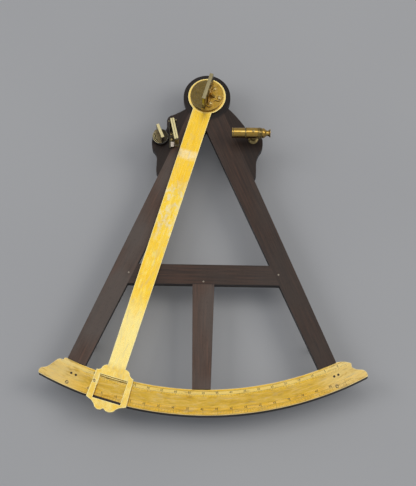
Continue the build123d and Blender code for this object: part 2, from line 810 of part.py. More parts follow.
def lock_bush():
    """Threaded bush in the back of the ear."""
    ring = disc(*lock_point(), LOCK_BUSH_RADIUS, -LIMB_THICK, LOCK_BUSH_HIGH)
    return ring - through_wood(lock_point(), LOCK_RADIUS + RUNNING_CLEARANCE)


def horizon_lock_screw():
    """Thumb screw through the lever's slot."""
    shank = disc(*lock_point(), LOCK_RADIUS, -17.0, -8.0)
    collar = disc(*lock_point(), 3.6, -19.0, -16.0)
    wing = LEVER * block(-8.0, 8.0, -LOCK_DISTANCE - 1.2, -LOCK_DISTANCE + 1.2, -27.0, -18.0)
    return shank + collar + wing


# Shades -------------------------------------------------------------------------------------


def shade_bracket():
    """Base strip with a stop block at one end and a fork for the hinge pin at the other."""
    base = block(-51.2, -44.6, -77.0, -43.6, 0, SHADE_BASE_HIGH)
    stop = block(-49.2, -44.6, -77.0, -70.0, 0, 6.0)
    fork_foot = SHADE * block(-5.2, 5.2, -4.0, 4.0, 0, SHADE_BASE_HIGH)
    bracket = base + stop + fork_foot
    post_face = outline(
        (-3.4, 0), (3.4, 0), (1.8, SHADE_PIN_HEIGHT), ((0, 33.0), (-1.8, SHADE_PIN_HEIGHT))
    )
    for start in (POST_INSIDE, -POST_OUTSIDE):
        bracket = bracket + SHADE * cross_slab(post_face, start, POST_OUTSIDE - POST_INSIDE)
    holes = [shank_hole(spot, SHADE_SCREW_HEAD, SHADE_SCREW_SHANK) for spot in SHADE_BASE_SCREWS]
    pin_hole = pin_rod(SHADE_PIN_RADIUS + SEAT_CLEARANCE, POST_OUTSIDE + 1)
    return bracket - pin_hole - Compound(holes)


def pin_rod(radius, half_length):
    """Rod along the hinge line of the shades."""
    rod = Pos(0, 0, SHADE_PIN_HEIGHT) * Rot(0, 90, 0) * Cylinder(radius, 2 * half_length)
    return SHADE * rod


def shade_pin():
    return pin_rod(SHADE_PIN_RADIUS, SHADE_PIN_HALF)


def shade_bracket_screws():
    screws = [screw(spot, SHADE_SCREW_HEAD, SHADE_SCREW_SHANK) for spot in SHADE_BASE_SCREWS]
    return Compound(screws)


def shade_side(body, side):
    """Puts a piece drawn for the right shade on the left (-1) or right (+1) of the pair."""
    return SHADE * (body if side > 0 else mirror(body, about=Plane.YZ))


def shade_frame(side):
    """Square brass frame with a round glass opening and a small finger tab."""
    corner = SHADE_CORNER
    turn = corner * (1 - math.sqrt(0.5))
    cut = 1.5
    face = outline(
        (SHADE_NEAR + corner, SHADE_LOW),
        (SHADE_FAR - corner, SHADE_LOW),
        ((SHADE_FAR - turn, SHADE_LOW + turn), (SHADE_FAR, SHADE_LOW + corner)),
        (SHADE_FAR, SHADE_HIGH - cut),
        (SHADE_FAR - cut, SHADE_HIGH),
        (SHADE_NEAR + cut, SHADE_HIGH),
        (SHADE_NEAR, SHADE_HIGH - cut),
        (SHADE_NEAR, SHADE_LOW + corner),
        ((SHADE_NEAR + turn, SHADE_LOW + turn), (SHADE_NEAR + corner, SHADE_LOW)),
    )
    tab = Pos(0, SHADE_NEAR + 0.4, 11.0) * Rot(0, 90, 0) * Cylinder(2.8, SHADE_THICK)
    body = cross_slab(face, SHADE_GAP, SHADE_THICK) + Pos(SHADE_GAP + SHADE_THICK / 2, 0, 0) * tab
    seat = SHADE_GAP + SHADE_THICK - SHADE_SEAT_DEPTH
    opening = glass_disc(SHADE_GLASS_RADIUS - 0.9, SHADE_GAP - 1, SHADE_THICK + 2)
    body = body - opening - glass_disc(SHADE_GLASS_RADIUS + GLASS_GAP, seat, SHADE_SEAT_DEPTH)
    pin_hole = pin_rod(SHADE_PIN_RADIUS + RUNNING_CLEARANCE, POST_OUTSIDE + 1)
    return shade_side(body, side) - pin_hole


def shade_glass(side):
    """Coloured glass against the shoulder of its frame."""
    seat = SHADE_GAP + SHADE_THICK - SHADE_SEAT_DEPTH
    return shade_side(glass_disc(SHADE_GLASS_RADIUS, seat, SHADE_GLASS_THICK), side)


def glass_disc(radius, start, thick):
    """Disc across the shades, on the line through the middle of their openings."""
    middle = (SHADE_NEAR + SHADE_FAR) / 2 - 1.5
    centre = Pos(start + thick / 2, middle, SHADE_GLASS_HEIGHT)
    return centre * Rot(0, 90, 0) * Cylinder(radius, thick)


# Telescope ----------------------------------------------------------------------------------


def telescope_pillar():
    """Turned pillar whose saddle fits the collar."""
    post = turned(
        (0, PILLAR_STUB),
        (PILLAR_STUB_RADIUS, PILLAR_STUB),
        (PILLAR_STUB_RADIUS, 0),
        (7.0, 0),
        (7.0, 1.6),
        (4.4, 2.6),
        (3.0, 5.0),
        (3.0, 13.0),
        (5.0, 16.0),
        (5.0, SCOPE_Z - 4.0),
        (0, SCOPE_Z - 4.0),
    )
    barrel = SCOPE * Pos(0, 0, PILLAR_X) * Cylinder(COLLAR_RADIUS, 30.0)
    return Pos(PILLAR_X, SCOPE_Y, 0) * post - barrel


def scope_tube(inside, outside, start, end):
    """Tube along the telescope's axis."""
    middle = Pos(0, 0, (start + end) / 2)
    bore = Cylinder(inside, end - start + 2)
    return SCOPE * middle * (Cylinder(outside, end - start) - bore)


def telescope_collar():
    """Wider tube round the rear of the objective tube."""
    collar = scope_tube(TUBE_RADIUS + SEAT_CLEARANCE, COLLAR_RADIUS, COLLAR_START, COLLAR_END)
    return collar - collar_screw_hole()


def objective_tube():
    tube = scope_tube(TUBE_BORE, TUBE_RADIUS, SCOPE_START, COLLAR_END)
    rim = scope_tube(TUBE_BORE, RIM_RADIUS, SCOPE_START, SCOPE_START + RIM_WIDTH)
    return tube + rim - collar_screw_hole()


def lens(radius, flat, rim, crown):
    """Plano-convex lens between its flat face, its rim height and the crown of its dome."""
    sag = crown - rim
    sphere = (radius ** 2 + sag ** 2) / (2 * sag)
    middle = crown - sphere + math.copysign(math.sqrt(sphere ** 2 - (radius / 2) ** 2), sphere)
    profile = outline((0, flat), (radius, flat), (radius, rim), ((radius / 2, middle), (0, crown)))
    return SCOPE * revolve(Plane.XZ * profile, Axis.Z)


def objective_lens():
    return lens(*OBJECTIVE)


def end_cap():
    """Ring that closes the collar and guides the draw tube."""
    bore = DRAW_RADIUS + RUNNING_CLEARANCE
    sleeve = scope_tube(bore, CAP_SLEEVE_RADIUS, CAP_START, COLLAR_END)
    return sleeve + scope_tube(bore, CAP_RADIUS, COLLAR_END, CAP_END)


def collar_screw():
    """Small screw that joins the collar to the tube."""
    return screw((PILLAR_X, SCOPE_Y), COLLAR_SCREW_HEAD, COLLAR_SCREW_SHANK)


def collar_screw_hole():
    """Hole through the collar and the tube's wall, out to the open air above them."""
    radius = COLLAR_SCREW_SHANK[0] + SEAT_CLEARANCE
    return disc(PILLAR_X, SCOPE_Y, radius, SCOPE_Z + TUBE_BORE - 0.3, SCOPE_Z + COLLAR_RADIUS + 1)


def draw_tube():
    """Sliding tube that carries the eyepiece."""
    return scope_tube(DRAW_BORE, DRAW_RADIUS, DRAW_START, DRAW_END)


def eye_cup():
    """Eye end with a waist and a flared rim."""
    cup = turned(
        (DRAW_RADIUS + SEAT_CLEARANCE, CUP_START),
        (6.6, CUP_START),
        (6.8, 79.0),
        (5.4, 82.2),
        (4.2, 84.6),
        (4.6, 86.0),
        (6.1, 88.4),
        (6.1, CUP_END),
        (5.2, CUP_END),
        (2.4, 85.0),
        (2.4, DRAW_END + 0.2),
        (DRAW_RADIUS + SEAT_CLEARANCE, DRAW_END + 0.2),
    )
    return SCOPE * cup


def eye_lens():
    return lens(*EYE_LENS)


PARTS = {
    "left_limb": lambda: limb(-1),
    "right_limb": lambda: limb(1),
    "left_ear": left_ear,
    "right_ear": right_ear,
    "cross_brace": cross_brace,
    "centre_brace": centre_brace,
    "brace_pegs": brace_pegs,
    "arc_wood": arc_wood,
    "scale_plate": scale_plate,
    "arc_pins": arc_pins,
    "pivot_bush": pivot_bush,
    "head_plate": head_plate,
    "back_plate": back_plate,
    "back_plate_screws": back_screws,
    "index_arm": index_arm,
    "pivot_shaft": pivot_shaft,
    "pivot_washer": pivot_washer,
    "pivot_nut": pivot_nut,
    "vernier_plate": vernier_plate,
    "vernier_screw": vernier_screw,
    "clamp_bracket": clamp_bracket,
    "clamp_screw": clamp_screw,
    "clamp_shoe": clamp_shoe,
    "mirror_table": mirror_table,
    "index_mirror_frame": index_mirror_frame,
    "index_mirror_glass": index_mirror_glass,
    "index_mirror_bracket": index_mirror_bracket,
    "mirror_bracket_screws": bracket_screws,
    "horizon_bush": horizon_bush,
    "horizon_base": horizon_base,
    "horizon_frame": horizon_frame,
    "horizon_glass": horizon_glass,
    "horizon_lever": horizon_lever,
    "lock_bush": lock_bush,
    "horizon_lock_screw": horizon_lock_screw,
    "shade_bracket": shade_bracket,
    "shade_bracket_screws": shade_bracket_screws,
    "shade_pin": shade_pin,
    "dark_shade_frame": lambda: shade_frame(-1),
    "dark_shade_glass": lambda: shade_glass(-1),
    "light_shade_frame": lambda: shade_frame(1),
    "light_shade_glass": lambda: shade_glass(1),
    "telescope_pillar": telescope_pillar,
    "telescope_collar": telescope_collar,
    "objective_tube": objective_tube,
    "objective_lens": objective_lens,
    "telescope_end_cap": end_cap,
    "collar_screw": collar_screw,
    "draw_tube": draw_tube,
    "eye_cup": eye_cup,
    "eye_lens": eye_lens,
}

os.makedirs("parts", exist_ok=True)
for name, place in FEET.items():
    export_step(PLACE * foot(*place), f"parts/{name}.step")
for name, make in PARTS.items():
    export_step(PLACE * make(), f"parts/{name}.step")
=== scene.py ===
import json
import math

import bmesh
import bpy
from mathutils import Matrix, Vector


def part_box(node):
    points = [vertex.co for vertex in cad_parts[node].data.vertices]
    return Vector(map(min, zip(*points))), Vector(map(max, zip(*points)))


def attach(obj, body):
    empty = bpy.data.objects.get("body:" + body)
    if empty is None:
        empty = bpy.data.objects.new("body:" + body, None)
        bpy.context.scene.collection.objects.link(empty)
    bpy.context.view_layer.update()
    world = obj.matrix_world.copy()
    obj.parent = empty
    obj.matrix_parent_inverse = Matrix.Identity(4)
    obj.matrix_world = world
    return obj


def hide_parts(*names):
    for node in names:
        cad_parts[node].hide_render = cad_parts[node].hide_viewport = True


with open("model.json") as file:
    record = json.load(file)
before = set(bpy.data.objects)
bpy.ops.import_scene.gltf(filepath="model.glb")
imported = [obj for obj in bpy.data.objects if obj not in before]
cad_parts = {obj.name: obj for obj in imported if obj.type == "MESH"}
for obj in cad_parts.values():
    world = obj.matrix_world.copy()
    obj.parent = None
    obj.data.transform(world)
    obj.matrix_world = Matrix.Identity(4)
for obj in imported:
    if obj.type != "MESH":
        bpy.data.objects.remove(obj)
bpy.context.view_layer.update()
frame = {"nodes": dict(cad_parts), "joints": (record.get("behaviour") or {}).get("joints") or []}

# Driving values ------------------------------------------------------------------------------
# Metres, in the frame's own axes. Places come from the joints and from the CAD nodes' boxes.

MM = 0.001
JOINTS = {joint["name"]: joint for joint in frame["joints"]}
PIVOT = Vector(JOINTS["index_swing"]["pos_m"])
HORIZON = Vector(JOINTS["horizon_turn"]["pos_m"])
CLAMP = Vector(JOINTS["clamp_turn"]["pos_m"])
ARM_ANGLE = math.radians(-16.15)
HORIZON_ANGLE = math.radians(22.3)
SHADE_ANGLE = math.radians(12.7)
LIMB_ANGLE = math.radians(24.1)
SCALE_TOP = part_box("scale_plate")[1].z - PIVOT.z
SMOOTH_ANGLE = math.radians(35)

PIVOT_PLACE = Matrix.Translation(PIVOT)
ARM_PLACE = Matrix.Translation(PIVOT) @ Matrix.Rotation(ARM_ANGLE, 4, "Z")
HORIZON_PLACE = Matrix.Translation(HORIZON) @ Matrix.Rotation(HORIZON_ANGLE, 4, "Z")


# Camera, floor and lights --------------------------------------------------------------------

# Metres, then radians in the order of turning, then the lens and sensor in mm.
CAMERA_PLACE = Vector((0.02307, -1.1066, 3.3042))
CAMERA_TURN = {"Z": -0.0188, "X": -0.3270, "Y": -0.0061}
CAMERA_LENS = 185.2
CAMERA_SENSOR = 36.0

# How far the camera sees, and half the floor's side.
CAMERA_REACH = 20.0
FLOOR_HALF = 7.0

# Place, width, depth, watts and colour of each soft light. All point at the frame's origin.
LIGHTS = {
    "key_softbox": ((2.6, 0.35, 3.0), 1.8, 1.8, 24.0, (1.0, 0.98, 0.94)),
    "left_softbox": ((-2.6, 0.35, 3.0), 1.9, 1.9, 17.0, (0.98, 0.98, 1.0)),
    "overhead_fill": ((0.1, 1.3, 4.4), 3.0, 2.2, 19.0, (1.0, 0.99, 0.97)),
}
ROOM_COLOUR = (0.49, 0.51, 0.55, 1.0)
ROOM_STRENGTH = 0.56


def make_camera():
    """Looks down on the instrument from in front of the arc, a little past the middle."""
    data = bpy.data.cameras.new("camera")
    data.sensor_width = CAMERA_SENSOR
    data.lens = CAMERA_LENS
    data.clip_end = CAMERA_REACH
    camera = bpy.data.objects.new("camera", data)
    bpy.context.scene.collection.objects.link(camera)
    turn = Matrix.Identity(3)
    for axis, angle in CAMERA_TURN.items():
        turn = turn @ Matrix.Rotation(angle, 3, axis)
    camera.matrix_world = Matrix.Translation(CAMERA_PLACE) @ turn.transposed().to_4x4()
    bpy.context.scene.camera = camera


def make_floor():
    """Large pale floor with a faint change of tone."""
    mesh = bpy.data.meshes.new("floor")
    corners = [(x * FLOOR_HALF, y * FLOOR_HALF, 0) for x, y in ((-1, -1), (1, -1), (1, 1), (-1, 1))]
    mesh.from_pydata(corners, [], [(0, 1, 2, 3)])
    floor = bpy.data.objects.new("floor", mesh)
    bpy.context.scene.collection.objects.link(floor)
    nodes = Nodes("pale_floor")
    tone = nodes.noise(nodes.place((0.6, 0.6, 0.6)), detail=2)
    nodes.set("Base Color", nodes.ramp(tone, [(0.3, (0.60, 0.60, 0.605)), (0.7, (0.64, 0.64, 0.64))]))
    nodes.set("Roughness", 0.9)
    nodes.set("Specular IOR Level", 0.2)
    mesh.materials.append(nodes.material)


def make_lights():
    """Two soft lights beyond the head, the right one stronger, a weak overhead one and a dim room."""
    for name, (place, width, depth, watts, colour) in LIGHTS.items():
        data = bpy.data.lights.new(name, "AREA")
        data.shape = "RECTANGLE"
        data.size = width
        data.size_y = depth
        data.energy = watts
        data.color = colour
        light = bpy.data.objects.new(name, data)
        light.location = place
        light.rotation_mode = "QUATERNION"
        light.rotation_quaternion = (-Vector(place)).to_track_quat("-Z", "Y")
        light.visible_camera = False
        bpy.context.scene.collection.objects.link(light)
    world = bpy.data.worlds.new("studio")
    world.use_nodes = True
    background = world.node_tree.nodes["Background"]
    background.inputs["Color"].default_value = ROOM_COLOUR
    background.inputs["Strength"].default_value = ROOM_STRENGTH
    bpy.context.scene.world = world
    bpy.context.scene.view_settings.view_transform = "Standard"


# Materials -----------------------------------------------------------------------------------


class Nodes:
    """A material with one Principled shader, and short calls that add pattern nodes to it."""

    def __init__(self, name):
        self.material = bpy.data.materials.new(name)
        self.material.use_nodes = True
        self.tree = self.material.node_tree
        self.tree.nodes.clear()
        self.shader = self.add("ShaderNodeBsdfPrincipled")
        output = self.add("ShaderNodeOutputMaterial")
        self.tree.links.new(self.shader.outputs[0], output.inputs["Surface"])

    def add(self, kind, inputs=None, **settings):
        """A new node with its settings, and with its inputs linked or set."""
        node = self.tree.nodes.new(kind)
        for key, value in settings.items():
            setattr(node, key, value)
        for key, value in (inputs or {}).items():
            self.feed(node.inputs[key], value)
        return node

    def feed(self, socket, value):
        """Links a socket to another node's output, or sets it to a plain value."""
        if isinstance(value, bpy.types.NodeSocket):
            self.tree.links.new(value, socket)
        elif isinstance(value, tuple) and len(value) == 3 and socket.type == "RGBA":
            socket.default_value = (*value, 1.0)
        else:
            socket.default_value = value

    def set(self, name, value):
        """Feeds one input of the shader."""
        self.feed(self.shader.inputs[name], value)

    def place(self, feature, angle=0.0, about=(0, 0, 0)):
        """Object coordinates in units of a feature's size, with its Y axis turned to an angle."""
        coordinates = self.add("ShaderNodeTexCoord").outputs["Object"]
        inputs = {"Vector": coordinates, "Location": about, "Rotation": (0, 0, angle), "Scale": feature}
        return self.add("ShaderNodeMapping", inputs, vector_type="TEXTURE").outputs["Vector"]

    def around(self, centre):
        """Radius in mm, angle in degrees from straight down, and height in mm about a centre."""
        coordinates = self.add("ShaderNodeTexCoord").outputs["Object"]
        inputs = {0: coordinates, 1: tuple(centre)}
        local = self.add("ShaderNodeVectorMath", inputs, operation="SUBTRACT").outputs[0]
        parts = self.add("ShaderNodeSeparateXYZ", {0: local}).outputs
        square = self.math("ADD", self.math("POWER", parts[0], 2.0), self.math("POWER", parts[1], 2.0))
        radius = self.math("MULTIPLY", self.math("SQRT", square), 1 / MM)
        turn = self.math("ARCTAN2", parts[0], self.math("MULTIPLY", parts[1], -1.0))
        angle = self.math("MULTIPLY", turn, math.degrees(1.0))
        height = self.math("MULTIPLY", parts[2], 1 / MM)
        return radius, angle, height

    def polar(self, centre, radial, along, high):
        """Radius, distance round a centre and height, in units of a feature's size in mm, degrees, mm."""
        radius, angle, height = self.around(centre)
        inputs = {
            0: self.math("DIVIDE", radius, radial),
            1: self.math("DIVIDE", angle, along),
            2: self.math("DIVIDE", height, high),
        }
        return self.add("ShaderNodeCombineXYZ", inputs).outputs[0]

    def upward(self):
        """1 on faces that look up, 0 on upright ones."""
        normal = self.add("ShaderNodeTexCoord").outputs["Normal"]
        return self.add("ShaderNodeSeparateXYZ", {0: normal}).outputs[2]

    def band(self, value, low, high, soft, strength=1.0):
        """strength between low and high, and 0 outside them."""
        rise = self.level(value, 0.0, strength, low - soft, low)
        fall = self.level(value, 1.0, 0.0, high, high + soft)
        return self.math("MULTIPLY", rise, fall)

    def math(self, operation, first, second=0.5, clamp=False):
        """One sum, product or function of one or two numbers."""
        node = self.add("ShaderNodeMath", {0: first, 1: second}, operation=operation, use_clamp=clamp)
        return node.outputs[0]

    def noise(self, vector, detail=3.0, roughness=0.55, distortion=0.0):
        """Noise from 0 to 1 whose features are one unit of the vector."""
        inputs = {
            "Vector": vector,
            "Scale": 1.0,
            "Detail": detail,
            "Roughness": roughness,
            "Distortion": distortion,
        }
        return self.add("ShaderNodeTexNoise", inputs).outputs["Fac"]

    def ramp(self, value, stops):
        """A colour that blends between (value, colour) stops."""
        node = self.add("ShaderNodeValToRGB", {"Fac": value})
        elements = node.color_ramp.elements
        while len(elements) < len(stops):
            elements.new(0.5)
        for element, (position, colour) in zip(elements, stops):
            element.position = position
            element.color = (*colour, 1.0)
        return node.outputs["Color"]

    def level(self, value, low, high, start=0.3, end=0.7):
        """A number that goes from low to high as the value goes from start to end."""
        inputs = {"Value": value, "From Min": start, "From Max": end, "To Min": low, "To Max": high}
        return self.add("ShaderNodeMapRange", inputs).outputs[0]

    def mix(self, factor, first, second):
        """The first colour at 0 and the second at 1."""
        node = self.add("ShaderNodeMix", data_type="RGBA")
        self.feed(node.inputs[0], factor)
        self.feed(node.inputs[6], first)
        self.feed(node.inputs[7], second)
        return node.outputs[2]

    def edges(self, radius, strength):
        """Near 1 along convex edges, for wear and for painted edge highlights, and 0 on flat faces."""
        rounded = self.add("ShaderNodeBevel", {"Radius": radius}, samples=6).outputs[0]
        flat = self.add("ShaderNodeNewGeometry").outputs["Normal"]
        dot = self.add("ShaderNodeVectorMath", {0: rounded, 1: flat}, operation="DOT_PRODUCT")
        away = self.math("SQRT", self.math("SUBTRACT", 1.0, dot.outputs["Value"], clamp=True))
        return self.math("MULTIPLY", away, strength, clamp=True)

    def bump(self, height, distance, strength=1.0):
        """Shades the surface as if a pattern raised it."""
        inputs = {"Height": height, "Distance": distance, "Strength": strength}
        self.set("Normal", self.add("ShaderNodeBump", inputs).outputs["Normal"])


def wood(name, grain_angle, tone=1.0, grey=0.45):
    """Nearly black close-grained hardwood with reddish streaks, pores and a worn oil finish.

    tone brightens the wood, and grey is how far its greyed patches go. The wood round the head's disc,
    under the index arm, is darker, and the upright sides and undersides carry painted shade."""
    nodes = Nodes(name)

    def shade(*colour):
        return tuple(tone * value for value in colour)

    figure = nodes.noise(nodes.place((2.4 * MM, 60 * MM, 7 * MM), grain_angle), 4, 0.65, 0.4)
    streaks = nodes.noise(nodes.place((0.9 * MM, 45 * MM, 3 * MM), grain_angle), 3, 0.6)
    pores = nodes.noise(nodes.place((0.35 * MM, 6 * MM, 0.5 * MM), grain_angle), 2, 0.5)
    cloud = nodes.noise(nodes.place((55 * MM, 90 * MM, 60 * MM), grain_angle), 2, 0.5)
    stops = [
        (0.30, shade(0.046, 0.027, 0.021)),
        (0.52, shade(0.080, 0.046, 0.031)),
        (0.75, shade(0.130, 0.062, 0.040)),
    ]
    ground = nodes.ramp(figure, stops)
    lined = nodes.mix(nodes.level(streaks, 0.0, 0.38, 0.45, 0.75), ground, shade(0.022, 0.015, 0.012))
    greyed = nodes.mix(nodes.level(cloud, 0.0, grey, 0.35, 0.60), lined, shade(0.098, 0.080, 0.068))
    pored = nodes.mix(nodes.level(pores, 0.0, 0.6, 0.60, 0.72), greyed, (0.010, 0.008, 0.008))
    radius = nodes.around(PIVOT)[0]
    # Darker wood within 32 to 36 mm of the pivot, round the index arm's head.
    darker_near_pivot = nodes.mix(nodes.level(radius, 0.85, 0.0, 32.0, 36.0), pored, (0.012, 0.010, 0.010))
    # Painted shade: upright sides and undersides darken to near black.
    painted_shade_sides = nodes.mix(nodes.level(nodes.upward(), 0.8, 0.0, 0.1, 0.6), darker_near_pivot, (0.008, 0.007, 0.007))
    worn = nodes.mix(nodes.edges(0.6 * MM, 0.35), painted_shade_sides, (0.13, 0.10, 0.085))
    nodes.set("Base Color", worn)
    nodes.set("Roughness", nodes.level(cloud, 0.40, 0.54))
    nodes.set("Specular IOR Level", 0.3)
    nodes.bump(nodes.math("ADD", streaks, nodes.math("MULTIPLY", pores, -0.8)), 0.05 * MM, 0.6)
    return nodes.material


def brass(
    name, tones, vectors, rough, tarnish=0.0, edge=0.3, rim=0.5,
    lacquer=0.0, grain=0.03, haze=0.35, overlays=(), tops=0.0,
):
    """Old brass: patches of tone, streaks from rubbing, grey haze, dark spots and bright edges that are
    partly wear and partly painted highlight.

    tones are the deep, usual and pale colours. vectors are the nodes and the coordinates of the large
    patches, of the blotches and of the fine rubbing marks. rim is the reach of the bright edges and
    grain the depth of the marks, in mm. overlays are (strength, colour) pairs laid over the patches.
    tops is the strength of a painted highlight on the upper faces of tall frames."""
    nodes, patch_place, blotch_place, streak_place = vectors
    patches = nodes.noise(patch_place, 5, 0.65, 0.6)
    blotches = nodes.noise(blotch_place, 5, 0.7, 0.8)
    rubbed = nodes.noise(streak_place, 3, 0.65)
    spots = nodes.noise(nodes.place((2.0 * MM, 2.0 * MM, 2.0 * MM)), 5, 0.75)
    fine = nodes.noise(nodes.place((0.5 * MM, 0.5 * MM, 0.5 * MM)), 3, 0.7)
    deep, usual, pale = tones
    toned = nodes.ramp(patches, [(0.33, deep), (0.46, usual), (0.57, usual), (0.72, pale)])
    for strength, colour in overlays:
        toned = nodes.mix(strength, toned, colour)
    streaked = nodes.mix(nodes.level(rubbed, 0.0, 0.32, 0.42, 0.70), toned, pale)
    grey = tuple(0.25 * value + 0.45 * pale[1] for value in pale)
    hazed = nodes.mix(nodes.level(blotches, 0.0, haze, 0.54, 0.66), streaked, grey)
    warm = nodes.mix(nodes.level(blotches, haze, 0.0, 0.34, 0.46), hazed, deep)
    dark = tuple(0.35 * value for value in deep)
    stained = nodes.mix(nodes.level(spots, 0.0, 0.35 + tarnish, 0.55 - 0.1 * tarnish, 0.78), warm, dark)
    bright = tuple(min(1.0, 0.35 + 0.75 * value) for value in pale)
    # Painted highlight: upward faces more than 15 to 20 mm up turn pale cream, so the tall frames' tops
    # look lit above their darker sides.
    if tops:
        high = nodes.level(nodes.around(PIVOT)[2], 0.0, tops, 15.0, 20.0)
        upper = nodes.math("MULTIPLY", high, nodes.level(nodes.upward(), 0.0, 1.0, 0.75, 0.95))
        stained = nodes.mix(upper, stained, (0.92, 0.80, 0.42))
    # Bright edges: partly worn brass and partly a painted highlight where the bevels catch the light.
    nodes.set("Base Color", nodes.mix(nodes.edges(rim * MM, 2.0 * edge), stained, bright))
    nodes.set("Metallic", 1.0)
    uneven = nodes.math("ADD", nodes.level(blotches, -0.03, 0.05), nodes.level(spots, -0.01, 0.04))
    nodes.set("Roughness", nodes.math("ADD", uneven, rough))
    if lacquer:
        nodes.set("Coat Weight", lacquer)
        nodes.set("Coat Roughness", 0.08)
        nodes.set("Coat Tint", (1.0, 0.86, 0.55, 1.0))
    nodes.bump(nodes.math("ADD", rubbed, nodes.math("MULTIPLY", fine, 0.6)), grain * MM, 0.5)
    return nodes.material


def flat_brass(name, tones, rough, angle=0.0, patch=(16, 40, 16), **options):
    """Brass with its rubbing marks in straight lines."""
    nodes = Nodes(name)
    patches = nodes.place(tuple(size * MM for size in patch), angle)
    blotches = nodes.place(tuple(0.3 * size * MM for size in patch), angle)
    marks = nodes.place((0.5 * MM, 14 * MM, 2 * MM), angle)
    return brass(name, tones, (nodes, patches, blotches, marks), rough, **options)


def round_brass(name, centre, tones, rough, **options):
    """Brass with its rubbing marks in circles about an upright axis."""
    nodes = Nodes(name)
    patches = nodes.place((9 * MM, 9 * MM, 9 * MM))
    blotches = nodes.place((2.5 * MM, 2.5 * MM, 2.5 * MM))
    marks = nodes.polar(centre, 0.35, 28.0, 2.0)
    return brass(name, tones, (nodes, patches, blotches, marks), rough, **options)


def arc_brass(name, tones, rough, **options):
    """Brass with its rubbing marks along the arc, brighter in the number row and at the ends."""
    nodes = Nodes(name)
    patches = nodes.polar(PIVOT, 9.0, 5.0, 20.0)
    blotches = nodes.polar(PIVOT, 2.2, 1.6, 6.0)
    marks = nodes.polar(PIVOT, 0.6, 3.0, 2.0)
    radius, angle, _ = nodes.around(PIVOT)
    outward = nodes.math("ABSOLUTE", angle)
    streak = nodes.noise(nodes.polar(PIVOT, 4.0, 2.6, 6.0), 4, 0.65, 0.4)
    # The middle, the two rows of numbers, the ends, and pale and dark streaks (mm and degrees).
    overlays = [
        (nodes.band(radius, 436.0, 447.0, 2.0, 0.60), (0.60, 0.37, 0.045)),
        (nodes.band(radius, 427.5, 431.5, 0.8, 0.60), (1.0, 0.80, 0.28)),
        (nodes.band(radius, 449.0, 459.0, 1.0, 0.45), (0.80, 0.44, 0.04)),
        (nodes.level(outward, 0.0, 0.55, 20.0, 25.0), (0.92, 0.74, 0.36)),
        (nodes.level(streak, 0.0, 0.60, 0.50, 0.66), (0.96, 0.68, 0.22)),
        (nodes.level(streak, 0.65, 0.0, 0.34, 0.46), (0.50, 0.28, 0.03)),
    ]
    return brass(name, tones, (nodes, patches, blotches, marks), rough, overlays=overlays, **options)


def arm_brass(name, tones, rough, **options):
    """Brass of the index arm, rubbed lengthwise and paler towards the window."""
    nodes = Nodes(name)
    patches = nodes.place((12 * MM, 34 * MM, 12 * MM), ARM_ANGLE)
    blotches = nodes.place((5 * MM, 20 * MM, 6 * MM), ARM_ANGLE)
    marks = nodes.place((0.5 * MM, 18 * MM, 2 * MM), ARM_ANGLE)
    radius = nodes.around(PIVOT)[0]
    cloud = nodes.noise(nodes.place((7 * MM, 11 * MM, 9 * MM), ARM_ANGLE), 4, 0.6, 0.5)
    veil = nodes.noise(nodes.place((2.5 * MM, 70 * MM, 5 * MM), ARM_ANGLE), 2, 0.5)

    def clouded(low, high, soft, *levels):
        return nodes.math("MULTIPLY", nodes.band(radius, low, high, soft), nodes.level(cloud, *levels))

    # Bands by radius in mm.
    overlays = [
        (nodes.band(radius, 345.0, 480.0, 45.0, 0.58), (1.0, 0.90, 0.46)),
        (nodes.band(radius, 0.0, 25.0, 2.0, 0.5), (0.95, 0.84, 0.52)),
        (nodes.level(veil, 0.0, 0.45, 0.48, 0.68), (1.0, 0.84, 0.30)),
        (nodes.band(radius, 30.0, 130.0, 20.0, 0.60), (0.97, 0.56, 0.02)),
        # Painted highlight: a pale cream patch across the arm 88 to 96 mm from the pivot.
        (clouded(88.0, 96.0, 5.0, 0.2, 0.8), (1.0, 0.88, 0.60)),
        (clouded(415.0, 480.0, 8.0, 0.35, 0.85, 0.40, 0.60), (0.86, 0.54, 0.065)),
        (clouded(150.0, 210.0, 25.0, 0.0, 0.7, 0.46, 0.62), (0.80, 0.74, 0.54)),
        (clouded(235.0, 300.0, 25.0, 0.75, 0.0, 0.42, 0.58), (0.93, 0.55, 0.03)),
    ]
    return brass(name, tones, (nodes, patches, blotches, marks), rough, overlays=overlays, **options)


# Distance from the pivot and half width of the telescope's grooves, in mm.
GROOVES = ((37.35, 0.3), (54.35, 0.55), (71.9, 0.3), (73.4, 0.25), (74.95, 0.3), (75.95, 0.3), (77.2, 0.4))


def scope_brass(name, tones, rough, **options):
    """Lacquered brass with painted shade on its flanks, below the top, and grime in its grooves."""
    nodes = Nodes(name)
    patches = nodes.place((14 * MM, 6 * MM, 6 * MM))
    blotches = nodes.place((3.0 * MM, 1.6 * MM, 1.6 * MM))
    marks = nodes.place((14 * MM, 0.6 * MM, 0.6 * MM))
    along = nodes.add("ShaderNodeSeparateXYZ", {0: nodes.place((MM, MM, MM), 0.0, PIVOT)}).outputs[0]
    # Painted shade: faces that turn away from straight up darken towards deep brown, so only a band along
    # the top looks lit.
    overlays = [(nodes.level(nodes.upward(), 0.92, 0.0, 0.40, 0.93), (0.10, 0.05, 0.008))]
    for groove, half in GROOVES:
        grime = nodes.band(along, groove - half, groove + half, 0.25, 0.9)
        overlays.append((grime, (0.05, 0.025, 0.006)))
    return brass(name, tones, (nodes, patches, blotches, marks), rough, overlays=overlays, **options)


